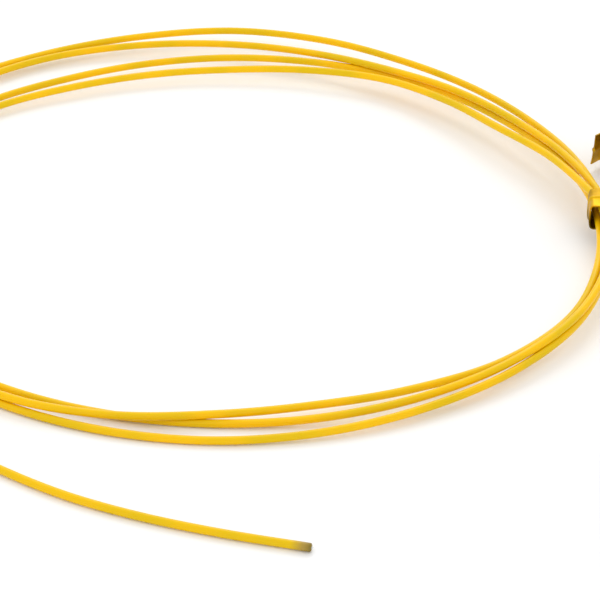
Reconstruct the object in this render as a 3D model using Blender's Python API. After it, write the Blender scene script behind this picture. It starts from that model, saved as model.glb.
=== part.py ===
"""A simplex fibre optic pigtail: a plug with its boot and cap, and a coiled 0.9 mm buffered fibre.

The plug lies along Y with its ferrule towards -Y. The origin is on the floor under the plug's middle.
Sizes are in metres.
"""
import bisect
import math

import bmesh
import bpy
from mathutils import Matrix, Vector

MM = 0.001

# Fits and the roundness of turned pieces
CLEARANCE = 0.3 * MM
TURNED_SIDES = 32
EDGE_ROUND = 0.4 * MM

# Coupling sleeve
SLEEVE_WIDTH = 9.0 * MM
SLEEVE_HEIGHT = 7.4 * MM
SLEEVE_LENGTH = 22.0 * MM
SLEEVE_SIDE_WALL = 0.9 * MM
SLEEVE_TOP_WALL = 0.75 * MM
SLEEVE_TRAVEL = 2.0 * MM
WINDOW_SETBACK = 3.0 * MM
WINDOW_HEIGHT = 3.4 * MM
KEY_WIDTH = 2.1 * MM
KEY_HEIGHT = 0.8 * MM
KEY_LENGTH = 9.0 * MM
KEY_SETBACK = 0.8 * MM
GRIP_GROOVES = 5
GRIP_PITCH = 1.7 * MM
GRIP_WIDTH = 0.8 * MM
GRIP_DEPTH = 0.35 * MM
GRIP_SETBACK = 2.0 * MM

# Inner housing
HOUSING_LENGTH = 20.0 * MM
HOUSING_NOSE = 4.5 * MM
HOUSING_BORE = 4.4 * MM
MOUTH_DEPTH = 5.0 * MM
WEB_THICKNESS = 0.8 * MM
LUG_LENGTH = 3.4 * MM
LUG_HEIGHT = 2.6 * MM
LUG_RISE = 0.8 * MM

# Ferrule and the flange that holds it
FERRULE_DIAMETER = 2.5 * MM
FERRULE_LENGTH = 10.5 * MM
FERRULE_REACH = 2.6 * MM
FERRULE_CHAMFER = 0.35 * MM
FIBRE_HOLE = 0.4 * MM
CUP_BOTTOM = 1.0 * MM
STEM_DIAMETER = 2.2 * MM
STEM_BORE = 0.6 * MM
STEM_LENGTH = 7.0 * MM

# Crimp body
SPIGOT_LENGTH = 5.0 * MM
SPRING_BORE = 2.8 * MM
SPRING_BORE_DEPTH = 5.5 * MM
SHOULDER_DIAMETER = 5.2 * MM
SHOULDER_LENGTH = 1.7 * MM
BARREL_DIAMETER = 4.0 * MM
BARREL_LENGTH = 9.0 * MM

# Boot
BOOT_COLLAR_LENGTH = 5.4 * MM
BOOT_LENGTH = 24.0 * MM
BOOT_FRONT_DIAMETER = 5.3 * MM
BOOT_SHOULDER_DIAMETER = 4.9 * MM
BOOT_TAIL_DIAMETER = 2.9 * MM
BOOT_GROOVES = 6
BOOT_GROOVE_WIDTH = 0.8 * MM
BOOT_GROOVE_DEPTH = 0.45 * MM
BOOT_GROOVE_START = 11.0 * MM
BOOT_GROOVE_PITCH = 1.9 * MM

# Dust cap
CAP_OUTER_LENGTH = 10.0 * MM
CAP_END_WALL = 1.2 * MM
CAP_WALL = 0.35 * MM
CAP_KNOB_DIAMETER = 5.0 * MM
CAP_KNOB_LENGTH = 3.0 * MM
CAP_INSET = 4.5 * MM

# Buffered fibre and its coil
CORD_DIAMETER = 0.9 * MM
CORD_STEP = 2.2 * MM
COIL_RADIUS = 43.0 * MM
COIL_BESIDE_PLUG = 8.5 * MM
COIL_CENTRE_Y = 54.0 * MM
LOWEST_HEIGHT = CORD_DIAMETER / 2 + 0.04 * MM
COIL_START_ANGLE = 240.0
KNOTS_PER_TURN = 12
COIL_STEPS_PER_TURN = 24
RING_SECTIONS = 72
RING_CORNER = 0.3 * MM
STEP_FACE_ANGLE = 0.4
PARTED_ANGLE = 0.5
LEAD_LEAVES_ANGLE = 348.0
LEAD_IN_BOOT = 2.0 * MM

# How far the turns lie outside the coil's radius, in millimetres at every twelfth of a turn,
# clockwise from the near left
TURN_OFFSETS = [
    9.3, 7.3, 6.5, 7.0, 6.3, 5.6, 1.3, -0.1, 1.0, 2.7, 1.5, 0.8,
    0.4, 0.8, 3.0, 4.6, 4.8, 1.4, -3.1, -2.8, 1.0, 2.6, -0.1, -2.3,
    -2.2, -0.9, 0.1, 0.8, -1.5, -1.8, -2.6, -2.6, 0.0, 1.3, -2.3, -2.5,
    0.1, -0.2, -0.9, -0.8, -4.3, -5.5, -4.5, -4.9, 0.0,
]

# Height of the turns' middle at the same places: flat at the near left, lifted at the tie
TURN_HEIGHTS = [
    0.5, 0.5, 0.6, 0.8, 1.2, 1.7, 2.3, 2.7, 3.1, 2.1, 1.1, 0.5,
    0.5, 0.5, 0.7, 1.0, 1.2, 1.7, 3.0, 3.7, 4.05, 3.0, 1.4, 0.5,
    0.5, 0.5, 0.5, 0.7, 1.1, 1.4, 2.0, 2.7, 3.1, 2.1, 1.0, 1.3,
    1.4, 1.4, 1.2, 1.0, 1.3, 1.6, 2.4, 3.4, 4.5,
]

# Where a turn strays between those places: the place's number and the millimetres outwards
TURN_STRAYS = [(4.5, -0.5), (18.5, 0.4), (19.5, -0.25), (33.5, 0.5), (34.5, -0.7), (43.1, -0.3)]

# The tail's own points from its cut end to the coil: the angle in degrees, and the millimetres
# outside the coil's radius. It lies on the floor.
TAIL_POINTS = [
    (279.0, 19.8),
    (271.0, 16.7),
    (263.0, 14.4),
    (255.0, 12.5),
    (247.0, 10.7),
]

# The lead's own points from the coil to the boot, in millimetres: outwards from the coil's radius,
# along the plug and up
LEAD_POINTS = [
    (0.7, -4.6, 4.75),
    (1.9, -9.0, 4.85),
    (3.9, -13.2, 4.6),
    (6.0, -17.2, 4.15),
    (7.5, -20.7, 3.85),
    (8.3, -23.5, 3.7),
]

# Twist tie
TIE_WIDTH = 4.0 * MM
TIE_THICKNESS = 0.4 * MM
TIE_LAYER_GAP = 0.3 * MM
TIE_NECK = 0.8 * MM
TIE_ANGLE = -2.5
TIE_HELD_ANGLE = 5.0
TIE_STEM_TURNS = 1.25
TIE_STEPS = 60
TIE_END_STEPS = 12

# The tie's twisted stem and its two free ends, measured as the lead is
TIE_STEM_POINTS = [
    (5.0, -2.0, 3.7),
    (6.6, -1.0, 3.3),
    (7.4, 1.6, 2.9),
    (7.4, 5.6, 2.6),
    (6.9, 9.4, 2.6),
    (5.9, 13.6, 2.6),
]
TIE_END_A_POINTS = [
    (6.1, 16.6, 3.0),
    (7.2, 18.9, 3.3),
    (8.6, 20.8, 3.6),
]
TIE_END_B_POINTS = [
    (4.2, 15.2, 2.7),
    (2.6, 15.3, 2.8),
    (1.2, 13.9, 2.9),
]

# Places along the plug, all worked out from the sizes above
AXIS_HEIGHT = SLEEVE_HEIGHT / 2
CRIMP_FRONT = HOUSING_LENGTH - SPIGOT_LENGTH
SHOULDER_FRONT = HOUSING_LENGTH + CLEARANCE
BARREL_FRONT = SHOULDER_FRONT + SHOULDER_LENGTH
BARREL_REAR = BARREL_FRONT + BARREL_LENGTH
BOOT_FRONT = BARREL_FRONT + CLEARANCE
BOOT_REAR = BOOT_FRONT + BOOT_LENGTH
PLUG_LENGTH = CAP_OUTER_LENGTH + BOOT_REAR
COIL_CENTRE_X = -(COIL_RADIUS + COIL_BESIDE_PLUG)
NOSE_Y = CAP_OUTER_LENGTH - PLUG_LENGTH / 2
HOUSING_WIDTH = SLEEVE_WIDTH - 2 * (SLEEVE_SIDE_WALL + CLEARANCE)
HOUSING_HEIGHT = SLEEVE_HEIGHT - 2 * (SLEEVE_TOP_WALL + CLEARANCE)
WINDOW_LENGTH = LUG_LENGTH + SLEEVE_TRAVEL + 2 * CLEARANCE
FLANGE_FRONT = MOUTH_DEPTH + WEB_THICKNESS + CLEARANCE
FLANGE_DIAMETER = HOUSING_BORE - 2 * CLEARANCE
FERRULE_FIT = FERRULE_DIAMETER + 2 * CLEARANCE
CORD_FIT = CORD_DIAMETER + 2 * CLEARANCE

# Colours as red, green and blue, then roughness and metallic
FINISHES = {
    "sleeve_blue": ((0.02, 0.12, 0.50), 0.40, 0.0),
    "housing_white": ((0.80, 0.80, 0.76), 0.45, 0.0),
    "ceramic_white": ((0.90, 0.90, 0.88), 0.20, 0.0),
    "nickel": ((0.62, 0.60, 0.56), 0.30, 1.0),
    "boot_white": ((0.75, 0.75, 0.72), 0.60, 0.0),
    "cap_clear": ((0.75, 0.80, 0.82), 0.25, 0.0),
    "cord_yellow": ((0.93, 0.50, 0.01), 0.35, 0.0),
    "tie_gold": ((0.62, 0.40, 0.05), 0.30, 1.0),
}


def clear_scene():
    """Removes every object that the file already has."""
    for obj in list(bpy.data.objects):
        bpy.data.objects.remove(obj, do_unlink=True)


def finish(name):
    """The material called name, made once."""
    material = bpy.data.materials.get(name)
    if material is None:
        colour, roughness, metallic = FINISHES[name]
        material = bpy.data.materials.new(name)
        material.use_nodes = True
        shader = material.node_tree.nodes["Principled BSDF"]
        shader.inputs["Base Color"].default_value = (*colour, 1.0)
        shader.inputs["Roughness"].default_value = roughness
        shader.inputs["Metallic"].default_value = metallic
    return material


def add_empty(name, place):
    """An empty that a group of pieces hangs on."""
    empty = bpy.data.objects.new(name, None)
    empty.location = place
    bpy.context.collection.objects.link(empty)
    return empty


def add_mesh(name, bm, finish_name, parent):
    """Turns a bmesh into a named object with outward faces, smooth where it is round."""
    bmesh.ops.recalc_face_normals(bm, faces=bm.faces)
    mesh = bpy.data.meshes.new(name)
    bm.to_mesh(mesh)
    bm.free()
    mesh.shade_smooth()
    mesh.set_sharp_from_angle(angle=math.radians(35))
    obj = bpy.data.objects.new(name, mesh)
    obj.parent = parent
    bpy.context.collection.objects.link(obj)
    if finish_name:
        mesh.materials.append(finish(finish_name))
    return obj


def block(width, front, rear, height, centre=(0.0, 0.0)):
    """A bmesh box across X and Z, from front to rear along the plug, measured from the housing's nose."""
    bm = bmesh.new()
    bmesh.ops.create_cube(bm, size=1.0)
    middle = Vector((centre[0], NOSE_Y + (front + rear) / 2, centre[1]))
    size = Matrix.Diagonal((width, rear - front, height, 1.0))
    bmesh.ops.transform(bm, matrix=Matrix.Translation(middle) @ size, verts=bm.verts)
    return bm


def turned(profile):
    """A bmesh turned about the plug's axis from a closed outline of (place along the plug, diameter)."""
    bm = bmesh.new()
    outline = [bm.verts.new((diameter / 2, NOSE_Y + along, 0.0)) for along, diameter in profile]
    edges = [bm.edges.new((a, b)) for a, b in zip(outline, outline[1:] + outline[:1])]
    bmesh.ops.spin(
        bm, geom=outline + edges, cent=(0, 0, 0), axis=(0, 1, 0),
        angle=math.tau, steps=TURNED_SIDES, use_merge=True,
    )
    bmesh.ops.remove_doubles(bm, verts=bm.verts, dist=0.001 * MM)
    return bm


def add_cutter(name, bm, target, operation="DIFFERENCE"):
    """A helper that a Boolean modifier on target takes away, or adds."""
    cutter = add_mesh(name, bm, None, target.parent)
    cutter.hide_render = True
    cutter.display_type = "WIRE"
    modifier = target.modifiers.new(name, "BOOLEAN")
    modifier.operation = operation
    modifier.solver = "EXACT"
    modifier.object = cutter
    return cutter


def round_edges(obj, width):
    """Rounds the outer edges of a block before anything is cut into it."""
    bevel = obj.modifiers.new("edges", "BEVEL")
    bevel.width = width
    bevel.segments = 2
    bevel.limit_method = "ANGLE"


def make_coupling_sleeve(plug):
    """The outer sleeve with its key, side windows and grip grooves."""
    front = HOUSING_NOSE
    rear = front + SLEEVE_LENGTH
    body = block(SLEEVE_WIDTH, front, rear, SLEEVE_HEIGHT)
    sleeve = add_mesh("coupling_sleeve", body, "sleeve_blue", plug)
    round_edges(sleeve, EDGE_ROUND)
    key_front = front + KEY_SETBACK
    key_centre = (0.0, SLEEVE_HEIGHT / 2)
    key = block(KEY_WIDTH, key_front, key_front + KEY_LENGTH, 2 * KEY_HEIGHT, key_centre)
    add_cutter("sleeve_key", key, sleeve, "UNION")
    cavity_width = SLEEVE_WIDTH - 2 * SLEEVE_SIDE_WALL
    cavity_height = SLEEVE_HEIGHT - 2 * SLEEVE_TOP_WALL
    cavity = block(cavity_width, front - EDGE_ROUND, rear + EDGE_ROUND, cavity_height)
    add_cutter("sleeve_cavity", cavity, sleeve)
    window_front = front + WINDOW_SETBACK
    window = block(2 * SLEEVE_WIDTH, window_front, window_front + WINDOW_LENGTH, WINDOW_HEIGHT)
    add_cutter("sleeve_windows", window, sleeve)
    for number in range(GRIP_GROOVES):
        groove_rear = rear - GRIP_SETBACK - number * GRIP_PITCH
        for side, name in ((-1, "left"), (1, "right")):
            centre = (side * SLEEVE_WIDTH / 2, 0.0)
            groove = block(2 * GRIP_DEPTH, groove_rear - GRIP_WIDTH, groove_rear, 2 * SLEEVE_HEIGHT, centre)
            add_cutter(f"grip_{name}_{number + 1}", groove, sleeve)


def make_inner_housing(plug):
    """The frame round the ferrule, with a lug on each side that rides in the sleeve's windows."""
    housing = add_mesh(
        "inner_housing", block(HOUSING_WIDTH, 0.0, HOUSING_LENGTH, HOUSING_HEIGHT), "housing_white", plug
    )
    round_edges(housing, EDGE_ROUND)
    lug_front = HOUSING_NOSE + WINDOW_SETBACK + CLEARANCE + SLEEVE_TRAVEL
    lug = block(HOUSING_WIDTH + 2 * LUG_RISE, lug_front, lug_front + LUG_LENGTH, LUG_HEIGHT)
    add_cutter("housing_lugs", lug, housing, "UNION")
    web_front = MOUTH_DEPTH
    web_rear = MOUTH_DEPTH + WEB_THICKNESS
    bores = turned([
        (-EDGE_ROUND, 0.0), (-EDGE_ROUND, HOUSING_BORE), (web_front, HOUSING_BORE), (web_front, FERRULE_FIT),
        (web_rear, FERRULE_FIT), (web_rear, HOUSING_BORE), (HOUSING_LENGTH + EDGE_ROUND, HOUSING_BORE),
        (HOUSING_LENGTH + EDGE_ROUND, 0.0),
    ])
    add_cutter("housing_bores", bores, housing)


def make_ferrule(plug):
    """The ceramic ferrule and the flange whose cup holds it."""
    tip = -FERRULE_REACH
    rear = FERRULE_LENGTH - FERRULE_REACH
    add_mesh("ferrule", turned([
        (tip, FIBRE_HOLE), (tip, FERRULE_DIAMETER - 2 * FERRULE_CHAMFER), (tip + FERRULE_CHAMFER, FERRULE_DIAMETER),
        (rear, FERRULE_DIAMETER), (rear, FIBRE_HOLE),
    ]), "ceramic_white", plug)
    cup_bottom = rear + CLEARANCE
    cup_rear = cup_bottom + CUP_BOTTOM
    stem_rear = cup_rear + STEM_LENGTH
    add_mesh("ferrule_flange", turned([
        (FLANGE_FRONT, FERRULE_FIT), (FLANGE_FRONT, FLANGE_DIAMETER), (cup_rear, FLANGE_DIAMETER),
        (cup_rear, STEM_DIAMETER), (stem_rear, STEM_DIAMETER), (stem_rear, STEM_BORE),
        (cup_bottom, STEM_BORE), (cup_bottom, FERRULE_FIT),
    ]), "nickel", plug)


def make_crimp_body(plug):
    """The turned body behind the housing, with the spring's bore in front and the boot's barrel behind."""
    bore_rear = CRIMP_FRONT + SPRING_BORE_DEPTH
    spigot = HOUSING_BORE - 2 * CLEARANCE
    add_mesh("crimp_body", turned([
        (CRIMP_FRONT, SPRING_BORE), (CRIMP_FRONT, spigot), (SHOULDER_FRONT, spigot),
        (SHOULDER_FRONT, SHOULDER_DIAMETER), (BARREL_FRONT, SHOULDER_DIAMETER), (BARREL_FRONT, BARREL_DIAMETER),
        (BARREL_REAR, BARREL_DIAMETER), (BARREL_REAR, CORD_FIT), (bore_rear, CORD_FIT), (bore_rear, SPRING_BORE),
    ]), "nickel", plug)


def make_boot(plug):
    """The tapering strain relief, grooved so that it bends."""
    barrel_fit = BARREL_DIAMETER + 2 * CLEARANCE
    bore_rear = BARREL_REAR + CLEARANCE
    collar_rear = BOOT_FRONT + BOOT_COLLAR_LENGTH
    taper = (BOOT_SHOULDER_DIAMETER - BOOT_TAIL_DIAMETER) / (BOOT_REAR - collar_rear)

    def skin(along):
        return BOOT_SHOULDER_DIAMETER - taper * (along - collar_rear)

    outline = [
        (BOOT_FRONT, barrel_fit), (BOOT_FRONT, BOOT_FRONT_DIAMETER),
        (collar_rear, BOOT_FRONT_DIAMETER), (collar_rear, skin(collar_rear)),
    ]
    for number in range(BOOT_GROOVES):
        groove = BOOT_FRONT + BOOT_GROOVE_START + number * BOOT_GROOVE_PITCH
        groove_rear = groove + BOOT_GROOVE_WIDTH
        outline += [
            (groove, skin(groove)), (groove, skin(groove) - 2 * BOOT_GROOVE_DEPTH),
            (groove_rear, skin(groove_rear) - 2 * BOOT_GROOVE_DEPTH), (groove_rear, skin(groove_rear)),
        ]
    outline += [
        (BOOT_REAR, BOOT_TAIL_DIAMETER), (BOOT_REAR, CORD_FIT), (bore_rear, CORD_FIT), (bore_rear, barrel_fit),
    ]
    add_mesh("boot", turned(outline), "boot_white", plug)


def make_dust_cap(plug):
    """The cap that slips over the ferrule and into the housing's mouth."""
    bore = FERRULE_FIT
    tube = bore + 2 * CAP_WALL
    closed_end = -CAP_OUTER_LENGTH
    knob_rear = closed_end + CAP_KNOB_LENGTH
    add_mesh("dust_cap", turned([
        (closed_end, 0.0), (closed_end, CAP_KNOB_DIAMETER - 2 * EDGE_ROUND),
        (closed_end + EDGE_ROUND, CAP_KNOB_DIAMETER), (knob_rear, CAP_KNOB_DIAMETER), (knob_rear, tube),
        (CAP_INSET, tube), (CAP_INSET, bore), (closed_end + CAP_END_WALL, bore), (closed_end + CAP_END_WALL, 0.0),
    ]), "cap_clear", plug)


def smooth_value(values, position):
    """A smooth value between evenly spaced values."""
    index = min(int(position), len(values) - 2)
    t = position - index
    a = values[index - 1] if index else 2 * values[0] - values[1]
    b = values[index]
    c = values[index + 1]
    d = values[index + 2] if index + 2 < len(values) else 2 * values[-1] - values[-2]
    return b + 0.5 * t * (c - a + t * (2 * a - 5 * b + 4 * c - d + t * (3 * (b - c) + d - a)))


def round_coil(degrees, offset, height):
    """A point at an angle round the coil, outside its radius and above the floor."""
    radius = COIL_RADIUS + offset
    angle = math.radians(degrees)
    return Vector((radius * math.cos(angle), radius * math.sin(angle), height))


def beside_coil(point):
    """A point given in millimetres outwards from the coil's right side, along the plug and up."""
    outwards, along, up = point
    return Vector((COIL_RADIUS + outwards * MM, along * MM, up * MM))


def stray(place):
    """How far a turn strays outwards at a place along the turns, in millimetres."""
    near = [(place - middle, most) for middle, most in TURN_STRAYS if abs(place - middle) < 1]
    return sum(most * math.cos(math.pi / 2 * away) ** 2 for away, most in near)


def coil_points():
    """The middle of the coiled fibre, clockwise from where the tail joins."""
    points = []
    turns = (len(TURN_OFFSETS) - 1) / KNOTS_PER_TURN
    for step in range(round(turns * COIL_STEPS_PER_TURN) + 1):
        turn = step / COIL_STEPS_PER_TURN
        place = turn * KNOTS_PER_TURN
        offset = smooth_value(TURN_OFFSETS, place) + stray(place)
        height = max(smooth_value(TURN_HEIGHTS, place) * MM, LOWEST_HEIGHT)
        points.append(round_coil(COIL_START_ANGLE - 360 * turn, offset * MM, height))
    return points


def smooth_curve(points, step):
    """Points a step apart along a smooth curve through the given points."""
    fine = []
    ends = [2 * points[0] - points[1]] + list(points) + [2 * points[-1] - points[-2]]
    for a, b, c, d in zip(ends, ends[1:], ends[2:], ends[3:]):
        for part in range(16):
            t = part / 16
            fine.append(b + 0.5 * t * (c - a + t * (2 * a - 5 * b + 4 * c - d + t * (3 * (b - c) + d - a))))
    fine.append(points[-1])
    along = [0.0]
    for p, q in zip(fine, fine[1:]):
        along.append(along[-1] + (q - p).length)
    count = max(1, round(along[-1] / step))
    result = []
    for number in range(count + 1):
        distance = along[-1] * number / count
        index = min(max(bisect.bisect_right(along, distance) - 1, 0), len(fine) - 2)
        share = (distance - along[index]) / (along[index + 1] - along[index])
        result.append(fine[index].lerp(fine[index + 1], share))
    return result


def angle_of(point):
    """The point's angle round the coil in degrees, from 0 to 360."""
    return math.degrees(math.atan2(point.y, point.x)) % 360


def angle_between(point, angle):
    """How far round the coil the point lies from an angle, in degrees."""
    return (angle_of(point) - angle + 180) % 360 - 180


def evenly(points, step):
    """The points thinned out to about a step apart, with both ends kept."""
    count = max(1, round((len(points) - 1) * CORD_DIAMETER / 2 / step))
    return [points[round(k * (len(points) - 1) / count)] for k in range(count + 1)]


def route():
    """The whole fibre as tail, coil and lead, parted where the tail joins the coil and the lead leaves it."""
    tail = [round_coil(degrees, offset * MM, LOWEST_HEIGHT) for degrees, offset in TAIL_POINTS]
    coil = coil_points()
    lead = [beside_coil(p) for p in LEAD_POINTS]
    boot_end = Vector((-COIL_CENTRE_X, NOSE_Y + BOOT_REAR - COIL_CENTRE_Y, AXIS_HEIGHT))
    lead += [boot_end, boot_end - Vector((0, LEAD_IN_BOOT, 0))]
    whole = smooth_curve(tail + coil + lead, CORD_DIAMETER / 2)
    tail_end = next(i for i, p in enumerate(whole) if angle_of(p) < COIL_START_ANGLE + PARTED_ANGLE)
    coil_start = next(i for i, p in enumerate(whole) if angle_of(p) < COIL_START_ANGLE)
    right = max(i for i, p in enumerate(whole) if p.x > 0 and p.y > 0)
    last = range(right + 1, len(whole))
    coil_end = next(i for i in last if angle_of(whole[i]) < LEAD_LEAVES_ANGLE)
    lead_start = next(i for i in last if angle_of(whole[i]) < LEAD_LEAVES_ANGLE - PARTED_ANGLE)
    return whole[:tail_end], whole[coil_start:coil_end], whole[lead_start:]


def add_tube(name, points, parent):
    """A plain cord along points, with closed ends."""
    curve = bpy.data.curves.new(name, "CURVE")
    curve.dimensions = "3D"
    curve.bevel_depth = CORD_DIAMETER / 2
    curve.bevel_resolution = 2
    curve.use_fill_caps = True
    spline = curve.splines.new("POLY")
    spline.points.add(len(points) - 1)
    for target, point in zip(spline.points, points):
        target.co = (*point, 1.0)
    curve.materials.append(finish("cord_yellow"))
    obj = bpy.data.objects.new(name, curve)
    obj.parent = parent
    bpy.context.collection.objects.link(obj)


def ring_sections(coiled):
    """The lowest and highest radius and height of the turns at each section of the coil.

    The ring has a step where the tail joins it and another where the lead leaves it, so the first and
    the last stretch of the fibre count only on their side of it.
    """
    sections = []
    spacing = 360 / RING_SECTIONS
    angles = [number * spacing for number in range(RING_SECTIONS)]
    angles += [COIL_START_ANGLE + STEP_FACE_ANGLE, LEAD_LEAVES_ANGLE, LEAD_LEAVES_ANGLE - STEP_FACE_ANGLE]
    left = next(i for i, p in enumerate(coiled) if p.y > 0)
    right = max(i for i, p in enumerate(coiled) if p.y > 0)
    for angle in sorted(angles):
        held = coiled[left:right]
        if angle <= COIL_START_ANGLE:
            held = coiled[:right]
        if angle >= LEAD_LEAVES_ANGLE:
            held = coiled[left:]
        near = [p for p in held if abs(angle_between(p, angle)) <= spacing / 2]
        radii = [math.hypot(p.x, p.y) for p in near]
        heights = [p.z for p in near]
        grown = CORD_DIAMETER / 2
        across = (min(radii) - grown, max(radii) + grown)
        upwards = (min(heights) - grown, max(heights) + grown)
        sections.append((math.radians(angle), *across, *upwards))
    return sections


def make_coil(coil, coiled):
    """One closed ring with the outer shape of the turns."""
    bm = bmesh.new()
    rings = []
    for angle, inner, outer, low, high in ring_sections(coiled):
        corner = RING_CORNER
        outline = [
            (inner + corner, low), (outer - corner, low), (outer, low + corner), (outer, high - corner),
            (outer - corner, high), (inner + corner, high), (inner, high - corner), (inner, low + corner),
        ]
        rings.append([bm.verts.new((r * math.cos(angle), r * math.sin(angle), z)) for r, z in outline])
    for ring, following in zip(rings, rings[1:] + rings[:1]):
        for k in range(len(ring)):
            after = (k + 1) % len(ring)
            bm.faces.new((ring[k], ring[after], following[after], following[k]))
    add_mesh("fibre_coil", bm, "cord_yellow", coil)


def resample(points, count):
    """Evenly spaced points along a smooth curve through points."""
    fine = smooth_curve(points, 0.05 * MM)
    return [fine[round(k * (len(fine) - 1) / (count - 1))] for k in range(count)]


def tie_path(coiled):
    """The ribbon's middle with its width and face directions: one end, the loop, the other end."""
    tie_angle = math.radians(TIE_ANGLE)
    outwards = Vector((math.cos(tie_angle), math.sin(tie_angle), 0))
    along = Vector((-math.sin(tie_angle), math.cos(tie_angle), 0))
    up = Vector((0, 0, 1))
    held = [p for p in coiled if abs(angle_between(p, TIE_ANGLE)) <= TIE_HELD_ANGLE]
    reach = CORD_DIAMETER / 2 + CLEARANCE + TIE_THICKNESS / 2
    radii = [p.dot(outwards) for p in held]
    heights = [p.z for p in held]
    middle = outwards * (min(radii) + max(radii)) / 2 + up * (min(heights) + max(heights)) / 2
    a = (max(radii) - min(radii)) / 2 + reach
    b = (max(heights) - min(heights)) / 2 + reach
    layer = (TIE_THICKNESS + TIE_LAYER_GAP) / 2

    stem = resample([middle + outwards * (a + TIE_NECK)] + [beside_coil(p) for p in TIE_STEM_POINTS], TIE_STEPS)
    width = along
    upper = []
    lower = []
    for number, point in enumerate(stem):
        ahead = stem[min(number + 1, len(stem) - 1)] - stem[max(number - 1, 0)]
        ahead.normalize()
        width = (width - ahead * width.dot(ahead)).normalized()
        turn = Matrix.Rotation(math.tau * TIE_STEM_TURNS * number / (len(stem) - 1), 3, ahead)
        turned_width = turn @ width
        face = ahead.cross(turned_width)
        upper.append((point + face * layer, turned_width, face))
        lower.append((point - face * layer, turned_width, -face))

    def free_end(start, points, side):
        """Carries the ribbon on from the stem along its own points."""
        place, direction, _ = start
        carried = []
        ends = resample([place] + [beside_coil(p) for p in points], TIE_END_STEPS)
        for before, here in zip(ends, ends[1:]):
            ahead = (here - before).normalized()
            direction = (direction - ahead * direction.dot(ahead)).normalized()
            carried.append((here, direction, ahead.cross(direction) * side))
        return carried

    loop = []
    loop_corners = [
        (a, 0.8 * b), (0.45 * a, b), (-0.45 * a, b), (-0.92 * a, 0.85 * b), (-a, 0.0),
        (-0.92 * a, -0.85 * b), (-0.45 * a, -b), (0.45 * a, -b), (a, -0.8 * b),
    ]
    corners = [upper[0][0]] + [middle + outwards * r + up * z for r, z in loop_corners] + [lower[0][0]]
    around = resample(corners, TIE_STEPS)
    for before, here, after in zip(around, around[1:], around[2:]):
        ahead = (after - before).normalized()
        loop.append((here, along, along.cross(ahead)))
    end_a = free_end(upper[-1], TIE_END_A_POINTS, 1)
    end_b = free_end(lower[-1], TIE_END_B_POINTS, -1)
    return end_a[::-1] + upper[::-1] + loop + lower + end_b


def make_twist_tie(coil, coiled):
    """A flat ribbon looped round the turns and twisted on itself."""
    bm = bmesh.new()
    rings = []
    for place, width, face in tie_path(coiled):
        w = width * TIE_WIDTH / 2
        f = face.normalized() * TIE_THICKNESS / 2
        rings.append([bm.verts.new(place + corner) for corner in (w + f, f - w, -w - f, w - f)])
    for ring, following in zip(rings, rings[1:]):
        for k in range(4):
            after = (k + 1) % 4
            bm.faces.new((ring[k], ring[after], following[after], following[k]))
    bm.faces.new(rings[0])
    bm.faces.new(rings[-1])
    add_mesh("twist_tie", bm, "tie_gold", coil)


def main():
    clear_scene()
    plug = add_empty("plug_axis", (0, 0, AXIS_HEIGHT))
    coil = add_empty("coil_centre", (COIL_CENTRE_X, COIL_CENTRE_Y, 0))
    make_coupling_sleeve(plug)
    make_inner_housing(plug)
    make_ferrule(plug)
    make_crimp_body(plug)
    make_boot(plug)
    make_dust_cap(plug)
    tail, coiled, lead = route()
    make_coil(coil, coiled)
    make_twist_tie(coil, coiled)
    add_tube("fibre_tail", evenly(tail, CORD_STEP), coil)
    add_tube("fibre_lead", evenly(lead, CORD_STEP), coil)


main()
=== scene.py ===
"""The looks of a fibre optic pigtail: its coiled fibre, twist tie, plug, boot and dust cap, on a pale stage.

Everything is in metres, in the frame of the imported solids: the plug lies along Y with its ferrule
towards -Y, and the coil lies beside it on the floor, towards -X.
"""

import bisect
import math

import bmesh
import bpy
from bpy.props import FloatProperty, FloatVectorProperty, IntProperty, PointerProperty
from mathutils import Matrix, Vector, noise


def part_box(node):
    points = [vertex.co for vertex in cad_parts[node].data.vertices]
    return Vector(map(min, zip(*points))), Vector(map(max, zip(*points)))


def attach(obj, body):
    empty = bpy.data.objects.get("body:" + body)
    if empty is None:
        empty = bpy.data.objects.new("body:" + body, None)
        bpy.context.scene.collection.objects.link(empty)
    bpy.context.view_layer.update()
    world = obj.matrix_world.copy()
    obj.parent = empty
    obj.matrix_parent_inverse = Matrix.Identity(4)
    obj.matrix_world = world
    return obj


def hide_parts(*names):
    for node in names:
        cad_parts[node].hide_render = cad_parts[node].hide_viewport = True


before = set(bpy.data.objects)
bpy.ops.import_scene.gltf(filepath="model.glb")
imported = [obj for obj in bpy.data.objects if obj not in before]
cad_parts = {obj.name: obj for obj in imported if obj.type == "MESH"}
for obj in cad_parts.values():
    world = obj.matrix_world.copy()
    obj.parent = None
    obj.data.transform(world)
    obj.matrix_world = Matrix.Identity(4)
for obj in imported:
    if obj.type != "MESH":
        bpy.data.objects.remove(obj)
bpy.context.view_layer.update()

bl_info = {
    "name": "Fibre Pigtail Dresser",
    "version": (1, 0, 0),
    "blender": (4, 5, 0),
    "location": "3D View > Sidebar > Pigtail",
    "description": "Builds the finished pieces of a coiled fibre pigtail around its solids",
    "category": "Object",
}

MM = 0.001

# The fibre's route, with the points that its solids follow
CORD_DIAMETER = 0.9 * MM
COIL_RADIUS = 43.0 * MM
COIL_BESIDE_PLUG = 8.5 * MM
COIL_CENTRE = Vector((-(COIL_RADIUS + COIL_BESIDE_PLUG), 54.0 * MM, 0.0))
LOWEST_HEIGHT = CORD_DIAMETER / 2 + 0.04 * MM
COIL_START_ANGLE = 240.0
KNOTS_PER_TURN = 12
COIL_STEPS_PER_TURN = 24
LEAD_IN_BOOT = 2.0 * MM

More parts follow.
